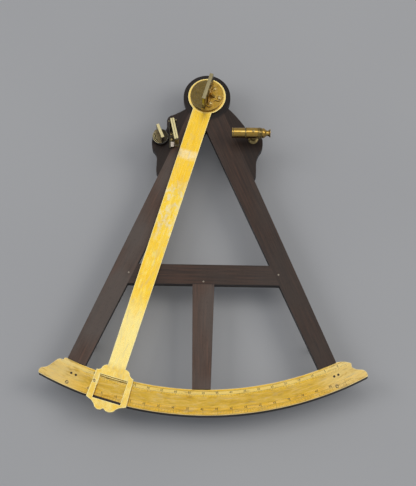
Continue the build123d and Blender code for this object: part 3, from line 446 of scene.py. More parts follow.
def bracket_brass(name, tones, rough, **options):
    """Dark brass of the shades' bracket, with a painted highlight on the top of its stop block."""
    nodes = Nodes(name)
    patches = nodes.place((5 * MM, 5 * MM, 5 * MM))
    blotches = nodes.place((1.6 * MM, 1.6 * MM, 1.6 * MM))
    marks = nodes.place((0.6 * MM, 8 * MM, 1 * MM))
    # Painted highlight: the stop block's upward face, 5.6 to 6.4 mm up, turns pale pinkish cream.
    block = nodes.band(nodes.around(PIVOT)[2], 5.6, 6.4, 0.3)
    top = nodes.math("MULTIPLY", block, nodes.level(nodes.upward(), 0.0, 0.9, 0.7, 0.9))
    overlays = [(top, (1.0, 0.86, 0.72))]
    return brass(name, tones, (nodes, patches, blotches, marks), rough, overlays=overlays, **options)


def table_brass(name, tones, rough, **options):
    """Turned table of the index mirror, dull and greyish on the mirror's glass side, partly tarnish and
    partly the mirror's painted shadow.
    """
    nodes = Nodes(name)
    patches = nodes.place((7 * MM, 7 * MM, 7 * MM))
    blotches = nodes.place((1.8 * MM, 1.8 * MM, 1.8 * MM))
    marks = nodes.polar(PIVOT, 0.35, 28.0, 2.0)
    across = nodes.add("ShaderNodeSeparateXYZ", {0: nodes.place((MM, MM, MM), ARM_ANGLE, PIVOT)}).outputs[0]
    # Partly tarnish and partly the mirror's painted shadow: the glass side of the table turns dark
    # grey-olive.
    mirror_shadow_and_tarnish = nodes.level(across, 0.9, 0.0, -1.6, -1.2)
    overlays = [(mirror_shadow_and_tarnish, (0.060, 0.052, 0.028))]
    return brass(name, tones, (nodes, patches, blotches, marks), rough, overlays=overlays, **options)


def wax(name, colour):
    """Dark filling of the engraved marks."""
    nodes = Nodes(name)
    tone = nodes.noise(nodes.place((1.2 * MM, 1.2 * MM, 1.2 * MM)), 3, 0.6)
    light = tuple(2.2 * value for value in colour)
    nodes.set("Base Color", nodes.ramp(tone, [(0.35, colour), (0.7, light)]))
    nodes.set("Roughness", nodes.level(tone, 0.45, 0.7))
    return nodes.material


def peg_material():
    """Pale bone of the pegs, with fine rings."""
    nodes = Nodes("peg_bone")
    rings = nodes.noise(nodes.place((0.4 * MM, 0.4 * MM, 3 * MM)), 3, 0.6)
    nodes.set("Base Color", nodes.ramp(rings, [(0.35, (0.36, 0.29, 0.20)), (0.7, (0.62, 0.54, 0.42))]))
    nodes.set("Roughness", 0.5)
    nodes.bump(rings, 0.04 * MM, 0.5)
    return nodes.material


def mirror_material():
    """Silvered glass with slight clouding and dark specks."""
    nodes = Nodes("silvered_glass")
    cloud = nodes.noise(nodes.place((6 * MM, 6 * MM, 6 * MM)), 5, 0.7, 0.5)
    specks = nodes.noise(nodes.place((0.8 * MM, 0.8 * MM, 0.8 * MM)), 2, 0.6)
    clean = nodes.ramp(cloud, [(0.35, (0.60, 0.64, 0.63)), (0.65, (0.74, 0.76, 0.75))])
    nodes.set("Base Color", nodes.mix(nodes.level(specks, 0.0, 0.7, 0.66, 0.74), clean, (0.16, 0.15, 0.13)))
    nodes.set("Metallic", 1.0)
    nodes.set("Roughness", nodes.level(cloud, 0.03, 0.12))
    return nodes.material


def glass_material(name, colour, rough):
    """Clear or coloured glass with a little dust."""
    nodes = Nodes(name)
    dust = nodes.noise(nodes.place((1.5 * MM, 1.5 * MM, 1.5 * MM)), 4, 0.7)
    tint = tuple(0.85 * value for value in colour)
    nodes.set("Base Color", nodes.ramp(dust, [(0.4, colour), (0.75, tint)]))
    nodes.set("Roughness", nodes.level(dust, rough, rough + 0.10))
    nodes.set("Transmission Weight", 1.0)
    nodes.set("IOR", 1.5)
    return nodes.material


make_camera()
make_floor()
make_lights()

# Deep, usual and pale colours of each kind of brass.
LEMON = ((0.80, 0.46, 0.015), (0.95, 0.63, 0.045), (0.97, 0.79, 0.24))
OCHRE = ((0.72, 0.39, 0.03), (0.94, 0.58, 0.055), (0.96, 0.71, 0.23))
PALE = ((0.80, 0.62, 0.24), (0.88, 0.72, 0.34), (0.94, 0.82, 0.52))
AGED = ((0.22, 0.16, 0.06), (0.40, 0.30, 0.12), (0.60, 0.48, 0.22))
GOLD = ((0.28, 0.15, 0.02), (0.48, 0.28, 0.035), (0.70, 0.48, 0.13))
SCREW = ((0.50, 0.34, 0.10), (0.70, 0.50, 0.17), (0.86, 0.70, 0.34))
LACQUER = ((0.60, 0.34, 0.04), (0.88, 0.58, 0.11), (1.0, 0.82, 0.32))
DULL = ((0.13, 0.10, 0.06), (0.24, 0.19, 0.10), (0.42, 0.36, 0.22))
BLACKENED = ((0.015, 0.013, 0.009), (0.035, 0.030, 0.018), (0.12, 0.10, 0.06))
PIN = ((0.06, 0.05, 0.04), (0.10, 0.08, 0.06), (0.16, 0.13, 0.09))
DARK = ((0.04, 0.035, 0.025), (0.09, 0.075, 0.045), (0.20, 0.17, 0.10))

# edge and rim set the strength and reach of each brass's bright edges, which are partly a painted
# highlight.
ARM_BRASS = arm_brass("arm_brass", LEMON, 0.26, haze=0.28, edge=1.3, rim=1.5)
SCALE_BRASS = arc_brass("scale_brass", OCHRE, 0.36, haze=0.3, edge=1.1, rim=1.3)
FITTING_BRASS = flat_brass("fitting_brass", PALE, 0.30, ARM_ANGLE, (8, 12, 8))
# The three tall frames below get a painted highlight on their tops.
MIRROR_BRASS = flat_brass("mirror_brass", DULL, 0.34, ARM_ANGLE, (5, 9, 5), tops=0.22)
SHADE_BRASS = flat_brass("shade_brass", DULL, 0.34, SHADE_ANGLE, (5, 9, 5), tops=0.85)
HORIZON_BRASS = flat_brass("horizon_brass", DULL, 0.34, HORIZON_ANGLE, (5, 9, 5), tops=0.75)
BRACKET_BRASS = bracket_brass("bracket_brass", DARK, 0.32)
TABLE_BRASS = table_brass("table_brass", GOLD, 0.28, tarnish=0.25, edge=1.2)
AGED_BRASS = flat_brass("aged_brass", AGED, 0.36, 0.0, (7, 7, 7), tarnish=0.3)
BASE_BRASS = round_brass("base_brass", HORIZON, BLACKENED, 0.28, tarnish=0.35, edge=3.0)
SCOPE_BRASS = scope_brass("scope_brass", LACQUER, 0.13, lacquer=0.7, grain=0.008, edge=0.6)
SCREW_BRASS = flat_brass("screw_brass", SCREW, 0.24, 0.0, (2, 2, 2), tarnish=0.2)
FOOT_BRASS = flat_brass("foot_brass", AGED, 0.30, 0.0, (7, 7, 7), tarnish=0.2)
DARK_METAL = flat_brass("dark_pin_metal", PIN, 0.40)
MARK_WAX = wax("mark_wax", (0.030, 0.018, 0.010))
PEG = peg_material()
MIRROR = mirror_material()
CLEAR = glass_material("lens_glass", (0.93, 0.96, 0.95), 0.02)
GREEN = glass_material("green_glass", (0.06, 0.24, 0.11), 0.03)
RED = glass_material("red_glass", (0.45, 0.05, 0.03), 0.03)
# Painted shadow: this dark wood covers the strip that stands for the shadow under the window's outer bar.
SHADOW_STRIP_WOOD = wood("wood_shadow_strip", ARM_ANGLE + math.pi / 2, 0.7)
FRAME_WOODS = {
    "left_limb": wood("wood_left_limb", -LIMB_ANGLE, 1.7, 0.8),
    "right_limb": wood("wood_right_limb", LIMB_ANGLE, 1.0),
    "left_ear": wood("wood_left_ear", -LIMB_ANGLE, 0.5),
    "right_ear": wood("wood_right_ear", LIMB_ANGLE, 0.55),
    "cross_brace": wood("wood_cross_brace", math.pi / 2, 1.1),
    "centre_brace": wood("wood_centre_brace", 0.0, 1.85, 0.6),
    "arc_wood": wood("wood_arc", math.pi / 2),
}


# CAD nodes that keep their shape -------------------------------------------------------------


def dress(name, material, bevel=0.0):
    """Gives a CAD node its material, and rounds its sharp edges by a bevel in mm."""
    node = frame["nodes"][name]
    node.data.materials.clear()
    node.data.materials.append(material)
    if not bevel:
        return
    weld = node.modifiers.new("weld", "WELD")
    weld.merge_threshold = 0.002 * MM
    flat = node.modifiers.new("flat", "DECIMATE")
    flat.decimate_type = "DISSOLVE"
    flat.angle_limit = math.radians(0.4)
    rounded_edges = node.modifiers.new("bevel", "BEVEL")
    rounded_edges.width = bevel * MM
    rounded_edges.segments = 2
    rounded_edges.limit_method = "ANGLE"
    rounded_edges.angle_limit = math.radians(30)
    rounded_edges.harden_normals = False
    node.modifiers.new("normals", "WEIGHTED_NORMAL")


for name, material in FRAME_WOODS.items():
    dress(name, material, 0.45)

# Material, bevel in mm, and nodes. Nodes that new pieces stand for aren't shown, so they aren't here.
for material, bevel, names in (
    (SCALE_BRASS, 0.5, ["scale_plate"]),
    (ARM_BRASS, 0.65, ["index_arm"]),
    (ARM_BRASS, 0.12, ["vernier_plate"]),
    (TABLE_BRASS, 0.3, ["mirror_table", "index_mirror_bracket", "head_plate"]),
    (MIRROR_BRASS, 0.2, ["index_mirror_frame"]),
    (HORIZON_BRASS, 0.2, ["horizon_frame"]),
    (BRACKET_BRASS, 0.2, ["shade_bracket"]),
    (SHADE_BRASS, 0.25, ["dark_shade_frame", "light_shade_frame"]),
    (AGED_BRASS, 0.2, ["clamp_bracket", "clamp_shoe", "back_plate", "pivot_nut", "pivot_washer"]),
    (AGED_BRASS, 0.2, ["horizon_lever"]),
    (SCOPE_BRASS, 0.15, ["draw_tube"]),
    (FITTING_BRASS, 0.15, ["pivot_bush", "pivot_shaft", "horizon_bush", "lock_bush", "shade_pin"]),
    (FITTING_BRASS, 0.15, ["horizon_lock_screw"]),
    (PEG, 0.0, ["brace_pegs"]),
    (MIRROR, 0.0, ["index_mirror_glass", "horizon_glass"]),
    (CLEAR, 0.0, ["objective_lens", "eye_lens"]),
    (GREEN, 0.0, ["dark_shade_glass"]),
    (RED, 0.0, ["light_shade_glass"]),
):
    for name in names:
        dress(name, material, bevel)


# New pieces ----------------------------------------------------------------------------------

# Sizes are in mm and degrees unless a line says otherwise. Heights are above the top of the wood,
# where the pivot's own frame has its zero, and radii on the arc are measured from the pivot.

MARK_LOW = -0.02 * MM
MARK_HIGH = 0.03 * MM
ISLAND_SIZE = 5 * MM

# The scale starts at the right, and each of its degrees is half a degree of arc, in radians here.
ZERO_ANGLE = math.radians(25.35)
DEGREE = math.radians(-0.5)
SCALE_END = 90
SPARE_DEGREES = 3
MARKS_PER_DEGREE = 3
# Radius and width of each circle.
CIRCLES = ((426.6, 0.2), (431.4, 0.16), (434.0, 0.12), (449.2, 0.12), (453.6, 0.16), (459.0, 0.2))
# Every how many thirds of a degree, and the ends and width of each mark. The first that fits counts.
MARKS = (
    (15, ((449.2, 459.0, 0.28), (431.4, 434.0, 0.28))),
    (3, ((453.6, 457.6, 0.18), (431.4, 433.2, 0.16))),
    (1, ((453.6, 455.8, 0.14),)),
)
# Radius and height of each row of numbers.
INNER_NUMBERS = (429.0, 3.0)
OUTER_NUMBERS = (451.4, 2.8)
OUTER_NUMBER_SHIFT = 0.4

END_SCREW_ROW = 454.6
END_SCREW_ANGLES = (-23.6, 23.75)
END_SCREW_ROOM = 0.42
END_SCREW_STAIN = 2.15
DRAW_PIN_ROW = 440.6
DRAW_PIN_ANGLES = (-23.6, -22.7, 24.0, 24.8)
DRAW_PIN_STAIN = 1.4
STAIN_HALF_WIDTH = 0.25

# Near end, short far end, long far end and width of the vernier's marks.
VERNIER_MARK = (427.7, 428.7, 429.1, 0.15)
VERNIER_STEP = 0.45
VERNIER_REACH = 5

# Dark strip that stands for the shadow under the window's outer bar, in the index arm's own axes.
STRIP_X = (-18.7, 20.3)
STRIP_Y = (-463.2, -457.9)
STRIP_Z = (-1.6, 1.2)
STRIP_BEVEL = 0.3

# Head's radius and height, and shank's radius and length, of each kind of screw.
BRACKET_SCREW = (2.4, 1.4, 1.2, 4.6)
VERNIER_SCREW = (2.2, 1.1, 1.0, 4.0)
COLLAR_SCREW = (2.0, 1.1, 1.0, 1.2)
SHADE_SCREW = (1.9, 0.9, 1.0, 1.2)
BACK_SCREW = (2.3, 0.6, 1.2, 6.0)
END_SCREW = (1.75, 1.0, 0.9, 5.0)
# Places in the index arm's own axes.
BRACKET_SCREW_PLACES = ((7.6, 11.6, 9.6), (17.4, 0.4, 9.6), (7.9, -11.0, 9.6))
VERNIER_SCREW_PLACE = (-23.4, -439.0, 2.9)
BACK_PLATE_LOW = -13.6

# Horizon table, with rings of studs up to a line beside its mirror.
HORIZON_RADIUS = 11.6
HORIZON_LOW = 0.3
HORIZON_TOP = 7.15
SPINDLE_RADIUS = 3.0
SPINDLE_LOW = -17.5
STUD_RINGS = (4.4, 6.4, 8.4, 10.4)
STUD_SPACING = 2.05
STUD_LIMIT = -2.9

# Height of the feet above the floor.
FOOT_HIGH = 36.0

# Telescope's axis, and its pillar with the hollow that takes the collar.
COLLAR_SEAT_RADIUS = 7.8
SCOPE_HEIGHT = 25.0
PILLAR_TOP = 18.0


def add_piece(name, mesh_data, material, body, slot, *stands_for):
    """Makes an object of a finished bmesh, shades it, and lets it ride on a CAD body."""
    mesh = bpy.data.meshes.new(name)
    bmesh.ops.recalc_face_normals(mesh_data, faces=mesh_data.faces)
    mesh_data.to_mesh(mesh)
    mesh_data.free()
    mesh.shade_smooth()
    mesh.set_sharp_from_angle(angle=SMOOTH_ANGLE)
    mesh.materials.append(material)
    piece = bpy.data.objects.new(name, mesh)
    bpy.context.scene.collection.objects.link(piece)
    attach(piece, body)
    if stands_for:
        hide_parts(*stands_for)
    return piece


def add_prism(bm, outline, low, high, place=Matrix.Identity(4)):
    """Closed solid over a flat outline."""
    rings = [[bm.verts.new(place @ Vector((x, y, z))) for x, y in outline] for z in (low, high)]
    bm.faces.new(reversed(rings[0]))
    bm.faces.new(rings[1])
    count = len(outline)
    for i in range(count):
        k = (i + 1) % count
        bm.faces.new((rings[0][i], rings[0][k], rings[1][k], rings[1][i]))


def polar(radius, angle):
    """Offset from a centre, with the angle measured from straight down, positive to the right."""
    return (radius * math.sin(angle), -radius * math.cos(angle))


def add_tick(bm, near, far, angle, width, low, high, place):
    """Thin bar along a radius."""
    across = (math.cos(angle) * width / 2, math.sin(angle) * width / 2)
    corners = []
    for radius, side in ((near, -1), (far, -1), (far, 1), (near, 1)):
        x, y = polar(radius, angle)
        corners.append((x + side * across[0], y + side * across[1]))
    add_prism(bm, corners, low, high, place)


def add_ring_line(bm, radius, width, start, end, low, high, place):
    """Thin line along a circle, in short straight pieces."""
    steps = max(2, round(abs(end - start) / math.radians(0.75)))
    angles = [start + (end - start) * i / steps for i in range(steps + 1)]
    inner = [polar(radius - width / 2, angle) for angle in angles]
    outer = [polar(radius + width / 2, angle) for angle in angles]
    for i in range(steps):
        add_prism(bm, [inner[i], inner[i + 1], outer[i + 1], outer[i]], low, high, place)


def add_number(bm, text, height, radius, angle, low, high, place):
    """A number that stands upright on a circle round the pivot."""
    curve = bpy.data.curves.new("number", "FONT")
    curve.body = text
    curve.align_x = "CENTER"
    curve.align_y = "CENTER"
    curve.size = height * 1.4
    curve.resolution_u = 2
    curve.extrude = (high - low) / 2
    curve.offset = 0.012 * height
    holder = bpy.data.objects.new("number", curve)
    bpy.context.scene.collection.objects.link(holder)
    mesh = bpy.data.meshes.new_from_object(holder)
    x, y = polar(radius, angle)
    turn = Matrix.Translation((x, y, (low + high) / 2)) @ Matrix.Rotation(angle, 4, "Z")
    mesh.transform(place @ turn)
    bm.from_mesh(mesh)
    bpy.data.objects.remove(holder)
    bpy.data.curves.remove(curve)
    bpy.data.meshes.remove(mesh)


def rounded(points, steps=5):
    """Catmull-Rom curve through profile points."""
    padded = [points[0], *points, points[-1]]
    result = []
    for a, b, c, d in zip(padded, padded[1:], padded[2:], padded[3:]):
        for i in range(steps):
            t = i / steps
            result.append(tuple(
                0.5 * (2 * q + (r - p) * t + (2 * p - 5 * q + 4 * r - s) * t * t
                       + (3 * q - p - 3 * r + s) * t ** 3)
                for p, q, r, s in zip(a, b, c, d)
            ))
    result.append(points[-1])
    return result


def add_turned(bm, profile, place, segments=48, closed=False, teeth=(), depth=0.0):
    """Turned solid from (radius, height) points. teeth gives the indices of points whose radius
    is cut by depth on every other step round the axis."""
    rings = []
    for index, (radius, height) in enumerate(profile):
        if radius < 1e-7:
            rings.append([bm.verts.new(place @ Vector((0, 0, height)))])
            continue
        ring = []
        for i in range(segments):
            cut = depth if index in teeth and i % 2 else 0.0
            angle = 2 * math.pi * i / segments
            offset = Vector(((radius - cut) * math.cos(angle), (radius - cut) * math.sin(angle), height))
            ring.append(bm.verts.new(place @ offset))
        rings.append(ring)
    pairs = list(zip(rings, rings[1:]))
    if closed:
        pairs.append((rings[-1], rings[0]))
    for first, second in pairs:
        for i in range(segments):
            k = (i + 1) % segments
            if len(first) == 1 and len(second) == 1:
                break
            if len(first) == 1:
                bm.faces.new((first[0], second[i], second[k]))
            elif len(second) == 1:
                bm.faces.new((first[i], first[k], second[0]))
            else:
                bm.faces.new((first[i], first[k], second[k], second[i]))


def add_screw(bm, place, size, slot_angle):
    """Slotted screw whose head stands on z = 0 of its place: two chamfered halves on a disc.

    size is the head's radius and height and the shank's radius and length, in mm."""
    radius, head, shank_radius, shank = (value * MM for value in size)
    slot_half = 0.16 * radius
    slot_floor = 0.35 * head
    chamfer = 0.22 * radius
    steps = 16
    base = [
        (0, -shank), (shank_radius, -shank), (shank_radius, 0),
        (radius, 0), (radius, slot_floor), (0, slot_floor),
    ]
    add_turned(bm, base, place, 2 * steps)
    levels = ((radius, slot_floor), (radius, head - 0.6 * chamfer), (radius - chamfer, head))
    for side in (0, math.pi):
        turn = place @ Matrix.Rotation(slot_angle + side, 4, "Z")
        rings = []
        for ring_radius, height in levels:
            first = math.asin(slot_half / ring_radius)
            angles = [first + (math.pi - 2 * first) * i / steps for i in range(steps + 1)]
            ring = [(ring_radius * math.cos(angle), ring_radius * math.sin(angle)) for angle in angles]
            rings.append([bm.verts.new(turn @ Vector((x, y, height))) for x, y in ring])
        for lower, upper in zip(rings, rings[1:]):
            for i in range(steps + 1):
                k = (i + 1) % (steps + 1)
                bm.faces.new((lower[i], lower[k], upper[k], upper[i]))
        bm.faces.new(reversed(rings[0]))
        bm.faces.new(rings[-1])


def in_metres(points):
    """The same points with their mm turned into metres."""
    return [(across * MM, along * MM) for across, along in points]


def island_centres(node):
    """Middle of each separate solid of a CAD node, from its points in plan."""
    centres = []
    for vertex in frame["nodes"][node].data.vertices:
        for group in centres:
            if (Vector(vertex.co.xy) - Vector(group[0])).length < ISLAND_SIZE:
                group.append(tuple(vertex.co.xy))
                break
        else:
            centres.append([tuple(vertex.co.xy)])
    return [
        Vector((
            (min(x for x, y in group) + max(x for x, y in group)) / 2,
            (min(y for x, y in group) + max(y for x, y in group)) / 2,
        ))
        for group in centres
    ]


def make_scale_marks():
    """Border circles, degree marks, third-of-a-degree marks and rings round the screws and pins."""
    bm = bmesh.new()
    low = SCALE_TOP + MARK_LOW
    high = SCALE_TOP + MARK_HIGH
    start = ZERO_ANGLE - SPARE_DEGREES * DEGREE
    end = ZERO_ANGLE + (SCALE_END + SPARE_DEGREES) * DEGREE
    for radius, width in CIRCLES:
        add_ring_line(bm, radius * MM, width * MM, start, end, low, high, PIVOT_PLACE)
    for third in range(SCALE_END * MARKS_PER_DEGREE + 1):
        angle = ZERO_ANGLE + third / MARKS_PER_DEGREE * DEGREE
        if abs(angle - math.radians(END_SCREW_ANGLES[1])) < math.radians(END_SCREW_ROOM):
            continue
        ticks = next(ticks for every, ticks in MARKS if third % every == 0)
        for near, far, width in ticks:
            add_tick(bm, near * MM, far * MM, angle, width * MM, low, high, PIVOT_PLACE)
    stains = [(END_SCREW_ROW, degrees, END_SCREW_STAIN) for degrees in END_SCREW_ANGLES]
    stains += [(DRAW_PIN_ROW, degrees, DRAW_PIN_STAIN) for degrees in DRAW_PIN_ANGLES]
    steps = 24
    for radius, degrees, ring in stains:
        x, y = polar(radius * MM, math.radians(degrees))
        place = PIVOT_PLACE @ Matrix.Translation((x, y, 0))
        for step in range(steps):
            ends = [step * math.tau / steps, (step + 1) * math.tau / steps]
            inner = [polar((ring - STAIN_HALF_WIDTH) * MM, angle) for angle in ends]
            outer = [polar((ring + STAIN_HALF_WIDTH) * MM, angle) for angle in reversed(ends)]
            add_prism(bm, inner + outer, low, high, place)
    add_piece("scale_marks", bm, MARK_WAX, "frame", "pin_metal")


def make_scale_numbers():
    """Two rows of numbers at every fifth degree, which count in opposite directions."""
    bm = bmesh.new()
    low = SCALE_TOP + MARK_LOW
    high = SCALE_TOP + MARK_HIGH
    for degrees in range(0, SCALE_END + 1, 5):
        angle = ZERO_ANGLE + degrees * DEGREE
        radius, height = INNER_NUMBERS
        add_number(bm, str(degrees), height * MM, radius * MM, angle, low, high, PIVOT_PLACE)
        if degrees == 0:
            continue
        angle += OUTER_NUMBER_SHIFT * DEGREE
        radius, height = OUTER_NUMBERS
        add_number(bm, str(SCALE_END - degrees), height * MM, radius * MM, angle, low, high, PIVOT_PLACE)
    add_piece("scale_numbers", bm, MARK_WAX, "frame", "pin_metal")


def make_vernier_marks():
    """Short marks along the vernier plate, longer at its middle and ends."""
    bm = bmesh.new()
    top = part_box("vernier_plate")[1].z - PIVOT.z
    near, short, long, width = (value * MM for value in VERNIER_MARK)
    for step in range(-VERNIER_REACH, VERNIER_REACH + 1):
        far = long if step % VERNIER_REACH == 0 else short
        angle = step * math.radians(VERNIER_STEP)
        add_tick(bm, near, far, angle, width, top + MARK_LOW, top + MARK_HIGH, ARM_PLACE)
    add_piece("vernier_marks", bm, MARK_WAX, "index", "pin_metal")


def make_rub_strip():
    """Dark strip under the window's outer bar: a solid stand-in for the painted shadow there on the scale.
    """
    bm = bmesh.new()
    (left, right), (far, near), (low, high) = STRIP_X, STRIP_Y, STRIP_Z
    outline = in_metres([(left, far), (right, far), (right, near), (left, near)])
    add_prism(bm, outline, low * MM, high * MM, ARM_PLACE)
    level = [edge for edge in bm.edges if abs(edge.verts[0].co.z - edge.verts[1].co.z) < 0.1 * MM]
    bmesh.ops.bevel(bm, geom=level, offset=STRIP_BEVEL * MM, segments=2, affect="EDGES")
    add_piece("window_shadow_strip", bm, SHADOW_STRIP_WOOD, "index", "dark_wood")


def make_screws():
    """Slotted screws in place of the plain ones, each group on the body of its CAD node."""
    bm = bmesh.new()
    for place in BRACKET_SCREW_PLACES:
        add_screw(bm, ARM_PLACE @ Matrix.Translation(Vector(place) * MM), BRACKET_SCREW, place[0])
    add_piece("bracket_screws", bm, SCREW_BRASS, "index", "fitting_brass", "mirror_bracket_screws")
    bm = bmesh.new()
    add_screw(bm, ARM_PLACE @ Matrix.Translation(Vector(VERNIER_SCREW_PLACE) * MM), VERNIER_SCREW, 0.9)
    add_piece("vernier_holding_screw", bm, SCREW_BRASS, "index", "fitting_brass", "vernier_screw")
    for node, piece, size, turn in (
        ("collar_screw", "collar_slotted_screw", COLLAR_SCREW, 0.4),
        ("shade_bracket_screws", "shade_base_screws", SHADE_SCREW, 1.1),
    ):
        bm = bmesh.new()
        for centre in island_centres(node):
            place = Matrix.Translation((centre.x, centre.y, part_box(node)[1].z - size[1] * MM))
            add_screw(bm, place, size, turn + 40 * centre.y)
        add_piece(piece, bm, SCREW_BRASS, "frame", "fitting_brass", node)
    bm = bmesh.new()
    upside_down = Matrix.Rotation(math.pi, 4, "X")
    for centre in island_centres("back_plate_screws"):
        place = Matrix.Translation((centre.x, centre.y, PIVOT.z + BACK_PLATE_LOW * MM)) @ upside_down
        add_screw(bm, place, BACK_SCREW, 30 * centre.x)
    add_piece("back_slotted_screws", bm, SCREW_BRASS, "frame", "fitting_brass", "back_plate_screws")


def make_arc_pins():
    """Dark draw pins and the two slotted end screws of the scale plate."""
    bm = bmesh.new()
    dome = in_metres([(0, -8.0), (1.1, -8.0), (1.1, -0.25), (0.8, -0.05), (0, 0.0)])
    for degrees in DRAW_PIN_ANGLES:
        x, y = polar(DRAW_PIN_ROW * MM, math.radians(degrees))
        add_turned(bm, dome, PIVOT_PLACE @ Matrix.Translation((x, y, SCALE_TOP)), 24)
    add_piece("draw_pins", bm, DARK_METAL, "frame", "pin_metal", "arc_pins")
    bm = bmesh.new()
    for degrees in END_SCREW_ANGLES:
        x, y = polar(END_SCREW_ROW * MM, math.radians(degrees))
        place = PIVOT_PLACE @ Matrix.Translation((x, y, SCALE_TOP - END_SCREW[1] * MM))
        add_screw(bm, place, END_SCREW, degrees)
    add_piece("scale_end_screws", bm, SCREW_BRASS, "frame", "fitting_brass")


def make_horizon_base():
    """Table of the horizon mirror with a milled rim, and bright studs on its left part."""
    bm = bmesh.new()
    milled = HORIZON_TOP - 1.45
    profile = [
        (0, SPINDLE_LOW), (SPINDLE_RADIUS, SPINDLE_LOW), (SPINDLE_RADIUS, HORIZON_LOW),
        (HORIZON_RADIUS - 0.6, HORIZON_LOW), (HORIZON_RADIUS, HORIZON_LOW + 0.5), (HORIZON_RADIUS, milled),
        (HORIZON_RADIUS - 0.5, milled + 0.4), (HORIZON_RADIUS - 0.5, milled + 0.8),
        (HORIZON_RADIUS - 1.1, HORIZON_TOP), (0, HORIZON_TOP),
    ]
    add_turned(bm, in_metres(profile), HORIZON_PLACE, 120, teeth=(4, 5), depth=0.5 * MM)
    add_piece("horizon_table", bm, BASE_BRASS, "horizon", "aged_brass", "horizon_base")
    bm = bmesh.new()
    stud = in_metres([(0, -0.3), (0.66, -0.3), (0.66, 0), (0.5, 0.18), (0, 0.24)])
    for index, ring in enumerate(STUD_RINGS):
        count = round(2 * math.pi * ring / STUD_SPACING)
        for i in range(count):
            angle = 2 * math.pi * (i + 0.5 * (index % 2)) / count
            x, y = ring * math.cos(angle), ring * math.sin(angle)
            if x <= STUD_LIMIT:
                place = HORIZON_PLACE @ Matrix.Translation(Vector((x, y, HORIZON_TOP)) * MM)
                add_turned(bm, stud, place, 10)
    add_piece("horizon_stipple", bm, FITTING_BRASS, "horizon", "aged_brass")


def make_clamp_screw():
    """Thumb screw under the arc with a milled head."""
    bm = bmesh.new()
    profile = [
        (0, -36.0), (4.6, -36.0), (6.2, -35.7), (6.9, -35.0), (6.9, -30.6), (6.2, -29.9), (4.4, -29.4),
        (4.0, -29.0), (4.0, -26.9), (3.5, -26.4), (2.5, -26.4), (2.5, -16.3), (0, -16.3),
    ]
    place = Matrix.Translation((CLAMP.x, CLAMP.y, PIVOT.z))
    add_turned(bm, in_metres(profile), place, 84, teeth=(3, 4), depth=0.45 * MM)
    add_piece("clamp_thumb_screw", bm, SCREW_BRASS, "clamp_thumbscrew", "fitting_brass", "clamp_screw")


def make_feet():
    """Three turned feet, each with a ball, a fillet and a slim stem that flares into the frame."""
    lower = [(3.0, 0.0), (4.3, 0.7), (4.9, 3.0), (4.5, 5.6), (3.1, 7.6)]
    upper = [(2.9, 9.5), (2.6, 14.0), (2.7, 22.0), (3.2, 27.5), (4.3, 30.6), (5.9, 31.8)]
    top = [(6.2, 32.4), (6.2, FOOT_HIGH), (0, FOOT_HIGH)]
    profile = [(0, 0), *rounded(lower), (3.7, 8.2), (3.7, 8.9), *rounded(upper), *top]
    for name in ("left_foot", "right_foot", "head_foot"):
        low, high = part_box(name)
        place = Matrix.Translation(((low.x + high.x) / 2, (low.y + high.y) / 2, 0))
        bm = bmesh.new()
        add_turned(bm, in_metres(profile), place, 48)
        add_piece("turned_" + name, bm, FOOT_BRASS, "frame", "aged_brass", name)


def make_pillar():
    """Turned pillar on a round flange, its top hollowed to the collar's shape."""
    low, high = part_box("telescope_pillar")
    place = Matrix.Translation(((low.x + high.x) / 2, (low.y + high.y) / 2, PIVOT.z))
    base = [(2.5, -8.0), (2.5, 0.0), (6.8, 0.0), (7.0, 0.3), (7.0, 1.1), (6.6, 1.6)]
    stem = rounded([(5.0, 2.0), (3.6, 3.4), (2.9, 5.4), (2.7, 8.6), (2.9, 10.2)], 4)
    ring = [(3.7, 10.5), *rounded([(4.1, 10.8), (4.1, 11.5), (3.7, 11.9)], 3), (3.1, 12.2)]
    neck = rounded([(3.1, 12.6), (3.5, 14.0), (4.6, 15.6), (5.0, 16.4)], 4)
    profile = [(0, -8.0), *base, *stem, *ring, *neck, (5.0, PILLAR_TOP), (0, PILLAR_TOP)]
    bm = bmesh.new()
    add_turned(bm, in_metres(profile), place, 48)
    for vertex in bm.verts:
        if vertex.co.z > PIVOT.z + (PILLAR_TOP - 0.1) * MM:
            beside = vertex.co.y - place.translation.y
            drop = math.sqrt((COLLAR_SEAT_RADIUS * MM) ** 2 - beside ** 2)
            vertex.co.z = PIVOT.z + SCOPE_HEIGHT * MM - drop
    add_piece("turned_pillar", bm, FOOT_BRASS, "frame", "aged_brass", "telescope_pillar")


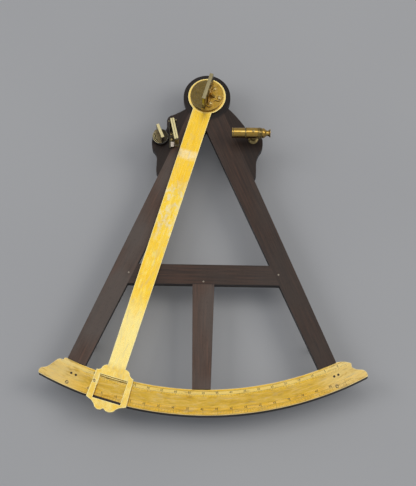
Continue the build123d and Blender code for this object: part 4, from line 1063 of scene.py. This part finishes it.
def make_telescope():
    """Objective tube, beaded collar, beaded end cap and flared eye cup, turned about the telescope.

    Heights are distances along the telescope from the pivot."""
    low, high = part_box("draw_tube")
    axis = Matrix.Translation((PIVOT.x, (low.y + high.y) / 2, (low.z + high.z) / 2))
    axis = axis @ Matrix.Rotation(math.pi / 2, 4, "Y")
    rim = rounded([(7.45, 36.0), (7.45, 36.9), (7.1, 37.2)], 4)
    ridge = rounded([(7.2, 37.6), (7.3, 37.9), (7.08, 38.2)], 4)
    tube = [(6.3, 35.8), (7.2, 35.8), *rim, (7.1, 37.5), *ridge, (7.08, 74.8), (6.3, 74.8)]
    collar = [(7.1, 54.6), (7.6, 54.6)]
    for start, radius, end in ((54.9, 7.75, 56.4), (72.2, 7.45, 73.45), (73.6, 7.45, 74.85)):
        bead = [(7.45, start), (7.95, start + 0.3), (7.95, start + 0.8), (7.45, start + 1.1)]
        collar += [*rounded(bead, 4), (radius, end)]
    collar += [(7.7, 74.8), (7.1, 74.8)]
    beads = [(6.9, 74.8), (7.4, 75.1), (7.4, 75.6), (6.95, 75.9), (7.4, 76.2), (7.4, 76.7), (6.9, 77.0)]
    cap = [(5.66, 64.0), (6.28, 64.0), (6.28, 74.8), *rounded(beads), (5.66, 77.0)]
    outside = [(6.9, 77.6), (7.1, 79.0), (6.6, 80.6), (5.0, 82.4), (3.8, 84.4), (4.1, 86.2), (5.6, 88.2)]
    lip = [(6.1, 88.6), (6.1, 89.0), (5.7, 89.1)]
    inside = [(5.3, 88.9), (4.2, 87.2), (2.8, 85.6), (2.4, 84.4), (2.4, 80.2)]
    cup = [(5.62, 77.3), (6.4, 77.3), *rounded(outside), *lip, *rounded(inside), (5.62, 80.2)]
    for piece, profile, segments, body, node in (
        ("flared_eye_cup", cup, 64, "eyepiece", "eye_cup"),
        ("beaded_collar", collar, 64, "frame", "telescope_collar"),
        ("smooth_objective_tube", tube, 96, "frame", "objective_tube"),
        ("beaded_end_cap", cap, 64, "frame", "telescope_end_cap"),
    ):
        bm = bmesh.new()
        add_turned(bm, in_metres(profile), axis, segments, closed=True)
        add_piece(piece, bm, SCOPE_BRASS, body, "lacquered_brass", node)


make_scale_marks()
make_scale_numbers()
make_vernier_marks()
make_rub_strip()
make_screws()
make_arc_pins()
make_horizon_base()
make_clamp_screw()
make_feet()
make_pillar()
make_telescope()
